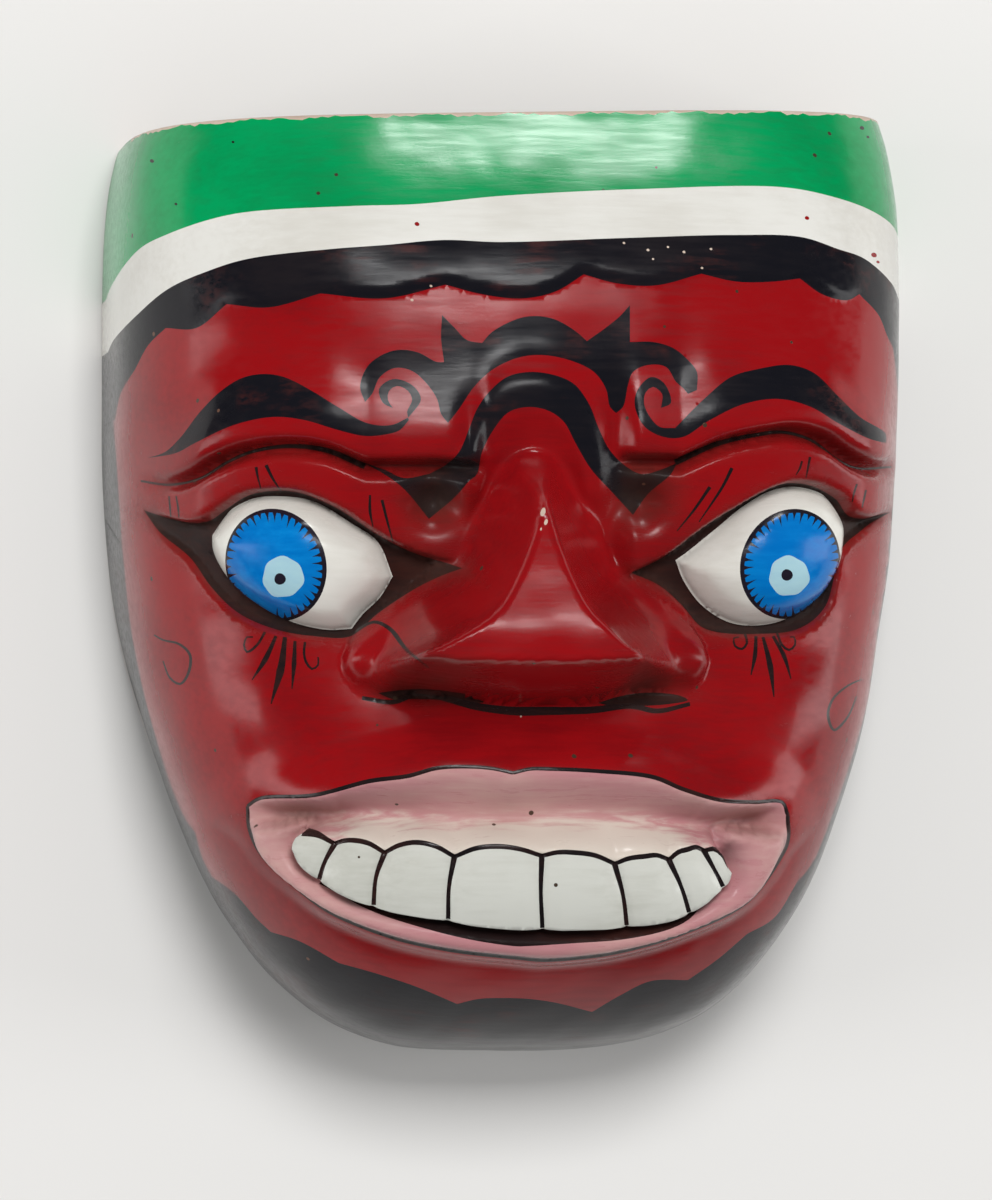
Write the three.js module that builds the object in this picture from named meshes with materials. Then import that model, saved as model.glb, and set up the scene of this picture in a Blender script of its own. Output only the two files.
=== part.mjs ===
// A carved and painted wooden devil mask, lying on the flat rim of its back with the face up.
// Millimetres. +Z points out of the face, +Y to the top of the head, +X to the right of a viewer.

import * as THREE from 'three';
import { mergeVertices } from 'three/addons/utils/BufferGeometryUtils.js';

// Driving sizes of the block
const HALF_WIDTH = 93.5;
const WIDEST_Y = 34;
const CHIN_Y = -120;
const TOP_Y = 107.5;
const TOP_SLOPE = 0.034;
const TOP_NARROWING = 0.04;
const SIDE_FLARE = 1;
const CHIN_FLARE = -14;
const SIDE_EXPONENT = 3.4;
const CHIN_EXPONENT = 1.7;
const FACE_SECTION = 3.3;
const CROWN_SECTION = 4;
const WALL = 9;

// Depth of the face above the rim, from the chin to the top edge, as [y, depth]
const DEPTHS = [[-110, 82], [-80, 88], [-50, 86], [-15, 80], [15, 82], [45, 86], [70, 83.5], [90, 77], [112, 66]];

// Eyes: the middle of each ball, and the lids and the crease over them as curves y(x)
const EYES = [
  {
    side: -1,
    ball: [-55, 3],
    upper: [[-89, 17.5], [-80, 13], [-72, 16.5], [-61, 20], [-48, 16], [-34, 7], [-20, 3]],
    lower: [[-89, 17], [-80, 5], [-70, -7], [-57, -12.5], [-45, -13.5], [-36, -7], [-20, 2.5]],
    crease: [[-92, 22], [-80, 21.5], [-71, 27], [-59, 29.5], [-47, 27], [-34, 21.5], [-24, 13]],
  },
  {
    side: 1,
    ball: [52, 5],
    upper: [[20, 2.5], [34, 9.5], [46, 17.5], [58, 22], [69, 18.5], [78, 14], [90, 17.5]],
    lower: [[20, 2], [33, -7.5], [43, -13], [55, -12.5], [66, -8], [78, 2], [90, 17]],
    crease: [[18, 16], [29, 25.5], [41, 30.5], [55, 34], [67, 30], [77, 26], [92, 27]],
  },
];
const BALL_HALF = [21, 16.5];
const BALL_TILT = 0.16;
const BALL_BULGE = 11.5;
const SOCKET_DEPTH = 5.5;
const LID_ROLL = 3.5;
const CREASE_DEPTH = 2.6;
const BROW_ROLL = 5;

// Nose: its ridge, front face and width by height y, and the edge and foot of its underside by x
const RIDGE_X = [[-30, -8.5], [-20, -8], [-8, -6], [18, -4.7], [30, -4.5]];
const RIDGE_HEIGHT = [[-30, 34], [-20, 35], [-10, 34.5], [2, 31], [12, 26.5], [18, 22.5], [30, 10]];
const FRONT_HALF = [[-30, 24], [-20.5, 21], [-17, 17.5], [-11, 13], [-5, 8.7], [3, 5], [12, 1.5], [18, 0.4], [30, 0.3]];
const NOSE_HALF = [[-30, 34], [-25, 38.5], [-19, 41.5], [-12, 39], [-6, 32], [1, 23], [8, 20], [17, 15], [26, 8], [34, 3]];
const NOSE_MIDDLE_X = -4;
const NOSE_HOLLOW = 1.75;
const ROOT_Y = 29.5;
const ROOT_CURVE = 0.07;
const ROOT_HALF = 19;
const ROOT_SLOPE = 2.2;
const WING_LIFT = 9;
const WING_Y = -17;
const WING_SPREAD = 10;
const NOSE_EDGE = [[-46, -24], [-38, -22.5], [-31, -21], [-24, -22], [-8, -22.5], [8, -22], [22, -21], [30, -22], [38, -25]];
const NOSE_FOOT = [[-46, -29], [-40, -28], [-33, -26], [-26, -26.5], [-8, -29], [10, -28.5], [20, -26], [30, -27], [38, -29.5]];
const NOSTRILS = [[-30, -25], [22, -24.5]];
const NOSTRIL_DEPTH = 3;

// Arch of the brow over the bridge of the nose
const ARCH_X = -4.2;
const ARCH_BASE_Y = 15;
const ARCH_HALF = 14.5;
const ARCH_RISE = 27;
const ARCH_ROLL = 3;
const PITS = [[-26, 17], [21, 17.5]];
const PIT_DEPTH = 5.5;

// Mouth: outlines of the lips, the fold over the gum and the row of teeth, as curves y(x)
const UPPER_LIP = [[-68, -54], [-62, -50.5], [-53, -49], [-26, -43.3], [-9, -44.5], [10, -43.7], [30, -47.5], [50, -50.5], [58, -54]];
const LOWER_LIP = [[-68, -54], [-64, -61], [-57, -69], [-46, -77], [-25, -84], [0, -87], [20, -84], [38, -77.5], [50, -68], [58, -54]];
const LIP_FOLD = [[-68, -54], [-56, -52.5], [-24, -54], [10, -54], [37, -55], [58, -55]];
const TEETH_TOP = [[-58, -58.5], [-45, -59], [-24, -60], [0, -61.5], [20, -62.5], [42, -63]];
const TEETH_BOTTOM = [[-58, -61], [-52, -68], [-41, -73.5], [-24, -77.5], [-2, -79.5], [17, -78.5], [31, -76], [38, -71], [43, -64]];
const TEETH_CUTS = [-51, -40.5, -23.5, -2.5, 17, 31, 38.5];
const TOOTH_CUT = 0.9;
const LIP_STAND = 4.5;
const FOLD_SINK = 5.5;
const GUM_STAND = 2.5;
const TEETH_STAND = 4;
const GAP_SINK = 4;
const LOWER_CREST = 6;
const MUZZLE_BULGE = 8;
const CHEEK_BULGE = 2.5;

// Hair: scallops of the raised hair over the forehead, as cusps from left to right
const HAIR_CUSPS = [[-96, 40], [-84, 57], [-71, 62.5], [-51, 64.5], [-24, 66], [9, 69.5], [37, 69.5], [59, 68.5], [74, 65.5], [96, 52]];
const HAIR_SAG = 3;
const HAIR_STEP = 1.6;

// Numbers of facets
const COLUMNS = 64;
const ROWS_UP = 21;
const ROWS_DOWN = 45;
const FACET_STEPS = 3;
const FACET_STEP = 1;
const INSIDE_COLUMNS = 22;
const INSIDE_ROWS_UP = 6;
const INSIDE_ROWS_DOWN = 12;

const WOOD_COLOUR = '#9c1519';

const clamp = (value, low, high) => Math.min(Math.max(value, low), high);
const bump = (distance, width) => Math.exp(-((distance / width) ** 2));
const mix = (a, b, share) => a + (b - a) * share;

function smooth(from, to, value) {
  const t = clamp((value - from) / (to - from), 0, 1);
  return t * t * (3 - 2 * t);
}

// The smaller of two heights, with the corner between them rounded
function softMin(a, b, radius) {
  const share = clamp(0.5 + (0.5 * (b - a)) / radius, 0, 1);
  return mix(b, a, share) - radius * share * (1 - share);
}

const softMax = (a, b, radius) => -softMin(-a, -b, radius);

// A smooth curve y(x) through points listed by rising x
function through(points, x) {
  const last = points.length - 1;
  let i = 0;
  while (i < last - 1 && x > points[i + 1][0]) i += 1;
  const slope = (k) => {
    const a = points[Math.max(k - 1, 0)];
    const b = points[Math.min(k + 1, last)];
    return (b[1] - a[1]) / (b[0] - a[0]);
  };
  const [p, q] = [points[i], points[i + 1]];
  const span = q[0] - p[0];
  const t = clamp((x - p[0]) / span, 0, 1);
  const [t2, t3] = [t * t, t * t * t];
  return (2 * t3 - 3 * t2 + 1) * p[1] + (t3 - 2 * t2 + t) * span * slope(i)
    + (3 * t2 - 2 * t3) * q[1] + (t3 - t2) * span * slope(i + 1);
}

// Cross-section of the shell: share of the half width and of the depth, by share of its length
function sectionTable(exponent, steps) {
  const points = [{ length: 0, out: 0, up: 1 }];
  for (let i = 1; i <= steps; i += 1) {
    const angle = (i / steps) * Math.PI / 2;
    const out = Math.sin(angle) ** (2 / exponent);
    const up = Math.max(Math.cos(angle), 0) ** (2 / exponent);
    const before = points[i - 1];
    const length = before.length + Math.hypot((out - before.out) * HALF_WIDTH, (up - before.up) * DEPTHS[4][1]);
    points.push({ length, out, up });
  }
  return points;
}

const SECTIONS = [sectionTable(FACE_SECTION, 400), sectionTable(CROWN_SECTION, 400)];

function sectionOf(table, share) {
  const length = share * table[table.length - 1].length;
  let i = 1;
  while (i < table.length - 1 && table[i].length < length) i += 1;
  const [a, b] = [table[i - 1], table[i]];
  const t = clamp((length - a.length) / (b.length - a.length), 0, 1);
  return { out: mix(a.out, b.out, t), up: mix(a.up, b.up, t) };
}

// The section grows squarer from the face to the flat-cut crown
function sectionAt(share, crown) {
  const [face, top] = SECTIONS.map((table) => sectionOf(table, share));
  return { out: mix(face.out, top.out, crown), up: mix(face.up, top.up, crown) };
}

// Distance from the widest level's middle to the outline, along a direction towards the chin
function outlineReach(dx, dy, halfWidth, drop) {
  let [low, high] = [0, 2 * drop];
  for (let i = 0; i < 50; i += 1) {
    const reach = (low + high) / 2;
    const level = Math.abs(reach * dx / halfWidth) ** SIDE_EXPONENT
      + Math.abs(reach * dy / drop) ** CHIN_EXPONENT;
    if (level < 1) low = reach;
    else high = reach;
  }
  return low;
}

// A point of a plain shell: u runs across from -1 to 1, v runs from -1 at the chin to 1 at the top
function shellPoint(u, v, inset) {
  const halfWidth = HALF_WIDTH - inset;
  const drop = WIDEST_Y - CHIN_Y - inset;
  if (v >= 0) {
    const section = sectionAt(Math.abs(u), smooth(0, 1, v));
    const narrow = 1 - TOP_NARROWING * v ** 6;
    const x = Math.sign(u) * (section.out * halfWidth * narrow + SIDE_FLARE * (1 - section.up));
    const y = WIDEST_Y + v * (TOP_Y + TOP_SLOPE * x - WIDEST_Y);
    return new THREE.Vector3(x, y, section.up * (through(DEPTHS, y) - inset));
  }
  const across = u * Math.sqrt(1 - v * v / 2);
  const down = v * Math.sqrt(1 - u * u / 2);
  const share = Math.min(Math.hypot(across, down), 1);
  const section = sectionAt(share, 0);
  const dx = share > 0 ? across / share : 0;
  const dy = share > 0 ? down / share : 1;
  const reach = outlineReach(dx * halfWidth, dy * drop, halfWidth, drop) * section.out;
  const away = Math.max(Math.hypot(dx * halfWidth * reach, dy * drop * reach), 1e-9);
  const flare = mix(SIDE_FLARE, CHIN_FLARE, smooth(0.2, 1, Math.abs(dy))) * (1 - section.up);
  const x = dx * halfWidth * reach * (1 + flare / away);
  const y = WIDEST_Y + dy * drop * reach * (1 + flare / away);
  return new THREE.Vector3(x, y, section.up * (through(DEPTHS, y) - inset));
}

const firstX = (points) => points[0][0];
const lastX = (points) => points[points.length - 1][0];

// How far a place lies inside the ends of a curve y(x)
const withinEnds = (points, x) => Math.min(x - firstX(points), lastX(points) - x);

// The eye opening: how far a place lies inside the lids, and its distances over the lid and the crease
function eyeOpening(eye, x, y) {
  const upper = through(eye.upper, x);
  const inside = Math.min(upper - y, y - through(eye.lower, x), withinEnds(eye.upper, x));
  return { inside, aboveLid: y - upper, aboveCrease: y - through(eye.crease, x) };
}

// The eyeball bulges out of its socket
function eyeHeight(eye, x, y) {
  const tilt = eye.side * BALL_TILT;
  const [dx, dy] = [x - eye.ball[0], y - eye.ball[1]];
  const across = (dx * Math.cos(tilt) + dy * Math.sin(tilt)) / BALL_HALF[0];
  const up = (dy * Math.cos(tilt) - dx * Math.sin(tilt)) / BALL_HALF[1];
  const radius = (Math.abs(across) ** 2.3 + Math.abs(up) ** 2.3) ** (1 / 2.3);
  return -SOCKET_DEPTH + BALL_BULGE * Math.max(1 - radius ** 2.4, 0) ** 0.6;
}

// Lids, the crease over them and the brow above it
function browAndLids(eye, x, y) {
  const { aboveLid, aboveCrease } = eyeOpening(eye, x, y);
  const ends = smooth(91, 82, Math.abs(x)) * smooth(14, 19, Math.abs(x));
  const brow = BROW_ROLL * smooth(0, 4, aboveCrease) * bump(Math.max(aboveCrease - 4, 0), 12);
  const lid = LID_ROLL * smooth(0, -3, aboveCrease) * smooth(-2, 2, aboveLid);
  const crease = -CREASE_DEPTH * bump(aboveCrease, 1.6);
  return (brow + lid + crease) * ends;
}

// The nose: a front face that widens downwards, hollow side faces, rounded wings and an underside
function noseHeight(x, y) {
  const half = through(FRONT_HALF, y);
  const off = Math.abs(x - through(RIDGE_X, y));
  const reach = Math.abs(x - NOSE_MIDDLE_X);
  const span = Math.max(through(NOSE_HALF, y) - half, 0.5);
  const t = clamp((mix(off, reach, clamp((off - half) / span, 0, 1)) - half) / span, 0, 1);
  if (t >= 1) return 0;
  const wing = WING_LIFT * bump(y - WING_Y, WING_SPREAD) * Math.sqrt(1 - t ** 5) * smooth(0, 0.2, t);
  const sides = softMax(through(RIDGE_HEIGHT, y) * (1 - t) ** NOSE_HOLLOW, wing, 3);
  const root = ROOT_SLOPE * (ROOT_Y - ROOT_CURVE * Math.min(reach, ROOT_HALF) ** 2 - y);
  const upper = softMin(sides, Math.max(root, 0), 2);
  const foot = through(NOSE_FOOT, x);
  return upper * clamp((y - foot) / (through(NOSE_EDGE, x) - foot), 0, 1) ** 0.62;
}

// The roll of the arch, the face of the bridge under it and the pits at its feet
function archHeight(x, y) {
  const across = Math.abs((x - ARCH_X) / ARCH_HALF) ** 2.3;
  const up = Math.abs((y - ARCH_BASE_Y) / ARCH_RISE) ** 2.3;
  const radius = (across + up) ** (1 / 2.3);
  const feet = smooth(ARCH_BASE_Y - 3, ARCH_BASE_Y + 6, y);
  const roll = ARCH_ROLL * bump((radius - 1) * ARCH_HALF, 4);
  const pits = PITS.reduce((sum, [px, py]) => sum + bump(Math.hypot(x - px, y - py), 5), 0);
  return (roll + smooth(1, 0.8, radius)) * feet - PIT_DEPTH * pits;
}

// Gum and teeth: the gum slopes out to the teeth, which stand proud of their lower edge
function gumAndTeeth(x, y, fold) {
  const top = through(TEETH_TOP, x);
  if (y > top) return mix(-FOLD_SINK, GUM_STAND, smooth(0, 1, (fold - y) / Math.max(fold - top, 1)));
  const cuts = TEETH_CUTS.reduce((sum, cut) => sum + bump(x - cut, 1.1), 0);
  const tooth = mix(GUM_STAND, TEETH_STAND, smooth(top, through(TEETH_BOTTOM, x), y));
  return tooth - TOOTH_CUT * cuts * smooth(top + 0.5, top - 2.5, y);
}

// Lips as a raised rim that falls in to the gum above and to the gap under the teeth below
function mouthHeight(x, y) {
  const [top, low, fold] = [UPPER_LIP, LOWER_LIP, LIP_FOLD].map((points) => through(points, x));
  const ends = withinEnds(UPPER_LIP, x);
  const inside = Math.min(top - y, y - low, ends);
  if (inside <= 0) return LIP_STAND * smooth(-3.5, 0, inside);
  const teethLow = through(TEETH_BOTTOM, x);
  const teethEnds = withinEnds(TEETH_TOP, x);
  const crest = low + 0.42 * Math.max(teethLow - low, 0);
  let height;
  if (y > fold) {
    height = mix(LIP_STAND, -FOLD_SINK, smooth(0, 1, (top - y) / Math.max(top - fold, 1)) * smooth(0, 9, ends));
  } else {
    const sideFace = mix(LIP_STAND, -3, smooth(0, 6, ends));
    const lipFace = y > crest
      ? mix(LOWER_CREST, -GAP_SINK, smooth(crest, Math.max(teethLow, crest + 1) - 0.6, y))
      : mix(2, LOWER_CREST, smooth(low, crest, y));
    const teeth = gumAndTeeth(x, y, fold);
    const around = y > teethLow ? Math.min(teeth, sideFace) : lipFace;
    height = mix(around, teeth, smooth(-1, 0.3, Math.min(y - teethLow, teethEnds)));
    if (teethEnds <= 0 && y > crest) height = Math.min(height, sideFace);
  }
  return mix(LIP_STAND, height, smooth(0, 0.8, inside));
}

// How far a point lies above the scalloped lower edge of the hair
function aboveHair(x, y) {
  let i = 0;
  while (i < HAIR_CUSPS.length - 2 && x > HAIR_CUSPS[i + 1][0]) i += 1;
  const [a, b] = [HAIR_CUSPS[i], HAIR_CUSPS[i + 1]];
  const t = clamp((x - a[0]) / (b[0] - a[0]), 0, 1);
  return y - mix(a[1], b[1], t) + HAIR_SAG * Math.sin(Math.PI * t);
}

// Height of the carving over the plain shell
function carving(x, y) {
  let height = MUZZLE_BULGE * bump(x + 3, 54) * bump(y + 62, 30);
  EYES.forEach((eye) => {
    height += CHEEK_BULGE * bump(x - eye.side * 62, 20) * bump(y + 28, 16);
    if (x * eye.side > 8) height += browAndLids(eye, x, y);
  });
  height += archHeight(x, y);
  EYES.forEach((eye) => {
    height = mix(height, eyeHeight(eye, x, y), smooth(-0.7, 0.7, eyeOpening(eye, x, y).inside) * smooth(90, 80, Math.abs(x)));
  });
  const nose = noseHeight(x, y);
  if (nose > 0) height = softMax(height, nose, 1.5);
  NOSTRILS.forEach(([px, py]) => {
    height -= NOSTRIL_DEPTH * bump(x - px, 6) * bump(y - py, 2.2);
  });
  height += mouthHeight(x, y);
  return height + HAIR_STEP * smooth(-0.4, 0.8, aboveHair(x, y)) * smooth(105, 78, y) * smooth(92, 84, Math.abs(x));
}

// The carving averaged over the neighbourhood of a facet, so that its steps stay clean between grid lines
function facetCarving(x, y) {
  let [sum, weights] = [0, 0];
  for (let i = -FACET_STEPS; i <= FACET_STEPS; i += 1) {
    for (let j = -FACET_STEPS; j <= FACET_STEPS; j += 1) {
      const weight = (FACET_STEPS + 1 - Math.abs(i)) * (FACET_STEPS + 1 - Math.abs(j));
      sum += weight * carving(x + i * FACET_STEP, y + j * FACET_STEP);
      weights += weight;
    }
  }
  return sum / weights;
}

// The carved front: the plain shell moved out along its own normal
function frontPoint(u, v) {
  const point = shellPoint(u, v, 0);
  const step = 0.004;
  const [u0, u1] = [Math.max(u - step, -1), Math.min(u + step, 1)];
  const [v0, v1] = [Math.max(v - step, -1), Math.min(v + step, 1)];
  const across = shellPoint(u1, v, 0).sub(shellPoint(u0, v, 0));
  const up = shellPoint(u, v1, 0).sub(shellPoint(u, v0, 0));
  const normal = across.cross(up).normalize();
  const fade = smooth(1, 0.86, Math.abs(u)) * smooth(-1, -0.9, v);
  return point.addScaledVector(normal, facetCarving(point.x, point.y) * fade);
}

const insidePoint = (u, v) => shellPoint(u, v, WALL);

// Places of the grid lines: closer together in the middle, where the features are
function columnLines(count) {
  const lines = [];
  for (let i = 0; i <= count; i += 1) {
    const t = (2 * i) / count - 1;
    lines.push(Math.sign(t) * (0.78 * Math.abs(t) + 0.22 * Math.abs(t) ** 6));
  }
  return lines;
}

function rowLines(countUp, countDown) {
  const lines = [];
  for (let j = -countDown; j <= countUp; j += 1) lines.push(j < 0 ? j / countDown : j / countUp);
  return lines;
}

function gridOf(place, columns, rows) {
  return rows.map((v) => columns.map((u) => place(u, v)));
}

function addTriangle(positions, a, b, c) {
  [a, b, c].forEach((p) => positions.push(p.x, p.y, p.z));
}

// Two triangles for each cell of a grid, turned so that its front faces out
function addGrid(positions, grid, facesOut) {
  for (let j = 0; j < grid.length - 1; j += 1) {
    for (let i = 0; i < grid[j].length - 1; i += 1) {
      const [a, b, c, d] = [grid[j][i], grid[j][i + 1], grid[j + 1][i + 1], grid[j + 1][i]];
      const corners = a.distanceTo(c) <= b.distanceTo(d) ? [a, b, c, a, c, d] : [a, b, d, b, c, d];
      if (!facesOut) corners.reverse();
      addTriangle(positions, ...corners.slice(0, 3));
      addTriangle(positions, ...corners.slice(3));
    }
  }
}

// Share of the whole length of a line of points at which each point lies
function lengthShares(line) {
  const lengths = [0];
  for (let i = 1; i < line.length; i += 1) lengths.push(lengths[i - 1] + line[i].distanceTo(line[i - 1]));
  return lengths.map((length) => length / lengths[line.length - 1]);
}

// A flat face between an outer edge and an inner edge, which run side by side
function addFlatFace(positions, outer, inner, outward) {
  const [outerShares, innerShares] = [lengthShares(outer), lengthShares(inner)];
  let [i, j] = [0, 0];
  while (i < outer.length - 1 || j < inner.length - 1) {
    const outerNext = j === inner.length - 1 || (i < outer.length - 1 && outerShares[i + 1] <= innerShares[j + 1]);
    const [a, b] = [outer[i], inner[j]];
    if (outerNext) i += 1;
    else j += 1;
    const c = outerNext ? outer[i] : inner[j];
    const normal = b.clone().sub(a).cross(c.clone().sub(a));
    if (normal.dot(outward) > 0) addTriangle(positions, a, b, c);
    else addTriangle(positions, a, c, b);
  }
}

// The rim runs down the left side, round the chin and up the right side
function rimOf(grid) {
  const left = grid.map((row) => row[0]).reverse();
  const right = grid.map((row) => row[row.length - 1]);
  return [...left, ...grid[0].slice(1), ...right.slice(1)];
}

function maskGeometry() {
  const front = gridOf(frontPoint, columnLines(COLUMNS), rowLines(ROWS_UP, ROWS_DOWN));
  const inside = gridOf(insidePoint, columnLines(INSIDE_COLUMNS), rowLines(INSIDE_ROWS_UP, INSIDE_ROWS_DOWN));
  const positions = [];
  addGrid(positions, front, true);
  addGrid(positions, inside, false);
  addFlatFace(positions, rimOf(front), rimOf(inside), new THREE.Vector3(0, 0, -1));
  addFlatFace(positions, front[front.length - 1], inside[inside.length - 1], new THREE.Vector3(0, 1, 0));
  const geometry = new THREE.BufferGeometry();
  geometry.setAttribute('position', new THREE.Float32BufferAttribute(positions, 3));
  const welded = mergeVertices(geometry, 1e-4);
  welded.computeVertexNormals();
  return welded;
}

function makeMask() {
  const material = new THREE.MeshStandardMaterial({ color: WOOD_COLOUR, roughness: 0.3, metalness: 0 });
  const mesh = new THREE.Mesh(maskGeometry(), material);
  mesh.name = 'mask';
  return mesh;
}

const group = new THREE.Group();
group.add(makeMask());

export default group;
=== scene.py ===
import math

import bpy
import numpy as np
from mathutils import Matrix, Vector
from mathutils.geometry import delaunay_2d_cdt


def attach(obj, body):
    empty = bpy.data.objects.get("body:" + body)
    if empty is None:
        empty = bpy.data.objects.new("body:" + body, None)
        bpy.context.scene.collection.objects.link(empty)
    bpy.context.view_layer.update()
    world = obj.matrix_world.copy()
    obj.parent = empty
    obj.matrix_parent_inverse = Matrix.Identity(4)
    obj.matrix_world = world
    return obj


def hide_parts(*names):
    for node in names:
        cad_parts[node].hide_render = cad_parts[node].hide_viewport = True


# The mask's surface is worked out in millimetres in the frame's axes and turned into metres at the end.
MM = 0.001
PHOTO_WIDTH, PHOTO_HEIGHT = 992, 1200

# The camera that the photograph was taken with, as far as its proportions tell
CAMERA_TARGET = np.array([-6.7, -4.2, 50.0])
CAMERA_DISTANCE = 1100.0
CAMERA_FOCAL_PIXELS = 4730.0
CAMERA_YAW = math.radians(9.3)
CAMERA_PITCH = math.radians(-1.5)
SENSOR_HEIGHT = 36.0

# The plain shell: the same driving sizes as the solid
HALF_WIDTH, WIDEST_Y, CHIN_Y, TOP_Y = 93.5, 34.0, -120.0, 107.5
SIDE_FLARE, CHIN_FLARE, CHIN_FLARE_FROM = 1.0, -14.0, 0.2
TOP_SLOPE, TOP_NARROWING, NARROWING_POWER = 0.034, 0.04, 6
SIDE_EXPONENT, CHIN_EXPONENT = 3.4, 1.7
FACE_SECTION, CROWN_SECTION = 3.3, 4.0
WALL = 9.0
FACE_DEPTH = 82
DEPTHS = [(-110, 82), (-80, 88), (-50, 86), (-15, 80), (15, FACE_DEPTH), (45, 86), (70, 83.5), (90, 77),
          (112, 66)]

# Nose: its ridge, front face and width by height y, and the edge and foot of its underside by x
RIDGE_X = [(-30, -8.5), (-20, -8), (-8, -6), (18, -4.7), (30, -4.5)]
RIDGE_HEIGHT = [(-30, 34), (-20, 35), (-10, 34.5), (2, 31), (12, 26.5), (18, 22.5), (30, 10)]
FRONT_HALF = [(-30, 24), (-20.5, 21), (-17, 17.5), (-11, 13), (-5, 8.7), (3, 5), (12, 1.5), (18, 0.4),
              (30, 0.3)]
NOSE_HALF = [(-30, 34), (-25, 38.5), (-19, 41.5), (-12, 39), (-6, 32), (1, 23), (8, 20), (17, 15),
             (26, 8), (34, 3)]
NOSE_MIDDLE_X = -4
NOSE_HOLLOW, CREST_ROUNDING = 1.75, 0.06
ROOT_Y, ROOT_CURVE, ROOT_HALF, ROOT_SLOPE = 29.5, 0.07, 19, 2.2
WING_LIFT, WING_Y, WING_SPREAD = 9, -17, 10
NOSE_EDGE = [(-46, -24), (-38, -22.5), (-31, -21), (-24, -22), (-8, -22.5), (8, -22), (22, -21),
             (30, -22), (38, -25)]
NOSE_FOOT = [(-46, -29), (-40, -28), (-33, -26), (-26, -26.5), (-8, -29), (10, -28.5), (20, -26),
             (30, -27), (38, -29.5)]
UNDERSIDE_POWER = 0.62
RIDGE_BLEND, ROOT_BLEND, NOSE_BLEND = 3, 2, 1.5
NOSTRILS, NOSTRIL_SPREAD, NOSTRIL_DEPTH = [(-30, -25), (22, -24.5)], (6, 2.2), 3

# Arch of the brow over the bridge of the nose
ARCH_X, ARCH_BASE_Y, ARCH_HALF, ARCH_RISE, ARCH_ROLL = -4.2, 15, 14.5, 27, 3
ARCH_POWER, ARCH_ROLL_WIDTH = 2.3, 4
PITS, PIT_SPREAD, PIT_DEPTH = [(-26, 17), (21, 17.5)], (5, 5), 5.5

# Relief of the eyes, the brows, the mouth and the hair, in millimetres above the plain shell
BALL_BULGE, BALL_RADIUS, BALL_ROUNDNESS, SOCKET_DEPTH = 6.4, 11.0, 0.62, 2.6
BALL_DOME, DOME_WIDTH = 3.6, 15.0
LID_ROLL, CREASE_DEPTH, CREASE_WIDTH = 3.5, 2.6, 1.3
BROW_ROLL, BROW_RISE, BROW_CREST, BROW_WIDTH = 5, 3.5, 4, 12
LIP_STAND, FOLD_SINK, GUM_STAND, TEETH_STAND, GAP_SINK, LOWER_CREST = 4.5, 5.5, 2.5, 4.4, 6.5, 5.0
TOOTH_CUT, CUT_WIDTH, TOOTH_ROUND, TOOTH_ROOT_SINK = 0.8, 0.55, 0.7, 0.6
TEETH_WALL, LOWER_EASE = 0.8, 2.0
MOUTH_X, CORNER_SHARE, LEDGE_SHARE = -5, 0.3, 0.3
POCKETS, POCKET_SPREAD, POCKET_DEPTH = [(-53, -53), (46, -55)], (5, 2.6), 2.6
MUZZLE, MUZZLE_SPREAD, MUZZLE_BULGE = (-3, -62), (54, 30), 8
CHEEKS, CHEEK_SPREAD, CHEEK_BULGE = [(-62, -28), (62, -28)], (20, 16), 2.5
HAIR_STEP, HAIR_WALL = 0.9, 1.8
# Heights at which the outlines of the eyes and the hair are looked up, before the relief is known
LID_LIFT, BALL_LIFT, HAIR_LIFT = 0.0, -0.6, 0.5

# The flattened front that is cut into triangles: its half width, and its height above and below the widest
# level. The triangles are finer in the part that shows the face.
PLANE_HALF, PLANE_UP, PLANE_DOWN = 150.0, 76.0, 200.0
FINE_STEP, COARSE_STEP = 0.9, 1.5
FINE_LOW, FINE_HIGH = (-96.0, -142.0), (96.0, 18.0)
INSIDE_COLUMNS, INSIDE_ROWS_UP, INSIDE_ROWS_DOWN = 56, 20, 40

# Painted areas, as outlines in pixels of the photograph. Each outline is a list of runs, and a run is a
# smooth curve between two corners.
GREEN_LINE = [(106, 300), (110, 289), (124, 266), (142, 247), (168, 234), (208, 220), (247, 212),
              (352, 206), (417, 204), (500, 196), (640, 189), (780, 187), (830, 196), (870, 210),
              (892, 225), (899, 238)]
WHITE_LINE = [(108, 352), (113, 341), (137, 315), (168, 289), (208, 271), (247, 259), (331, 249),
              (385, 245), (443, 240), (500, 242), (624, 238), (731, 235), (801, 237), (838, 249),
              (865, 259), (892, 284), (899, 300)]
HAIR_LINE = [
    [(113, 420), (120, 392), (133, 370)],
    [(133, 370), (146, 345), (163, 328)],
    [(163, 328), (195, 328), (226, 304)],
    [(226, 304), (268, 307), (320, 293)],
    [(320, 293), (385, 298), (446, 284)],
    [(446, 284), (480, 293), (522, 298), (556, 291), (584, 274)],
    [(584, 274), (618, 283), (656, 285), (702, 273)],
    [(702, 273), (738, 281), (774, 281), (801, 278)],
    [(801, 278), (824, 294), (849, 300), (861, 294)],
    [(861, 294), (880, 315), (889, 337)],
    [(889, 337), (894, 348), (897, 370), (899, 395)],
]
BEARD_LINE = [
    [(122, 545), (130, 622), (140, 676), (151, 720), (171, 785), (186, 820), (195, 832)],
    [(195, 832), (202, 857), (212, 877)],
    [(212, 877), (234, 893), (257, 919), (271, 932)],
    [(271, 932), (299, 941), (339, 963)],
    [(339, 963), (378, 974), (417, 987), (457, 1004)],
    [(457, 1004), (478, 999), (500, 998), (530, 999), (557, 1003), (592, 1012)],
    [(592, 1012), (619, 996), (651, 981), (688, 980)],
    [(688, 980), (718, 959), (747, 934)],
    [(747, 934), (774, 918), (798, 881)],
    [(798, 881), (806, 872), (816, 857)],
    [(816, 857), (828, 827), (846, 776), (863, 720), (873, 680)],
]
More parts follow.
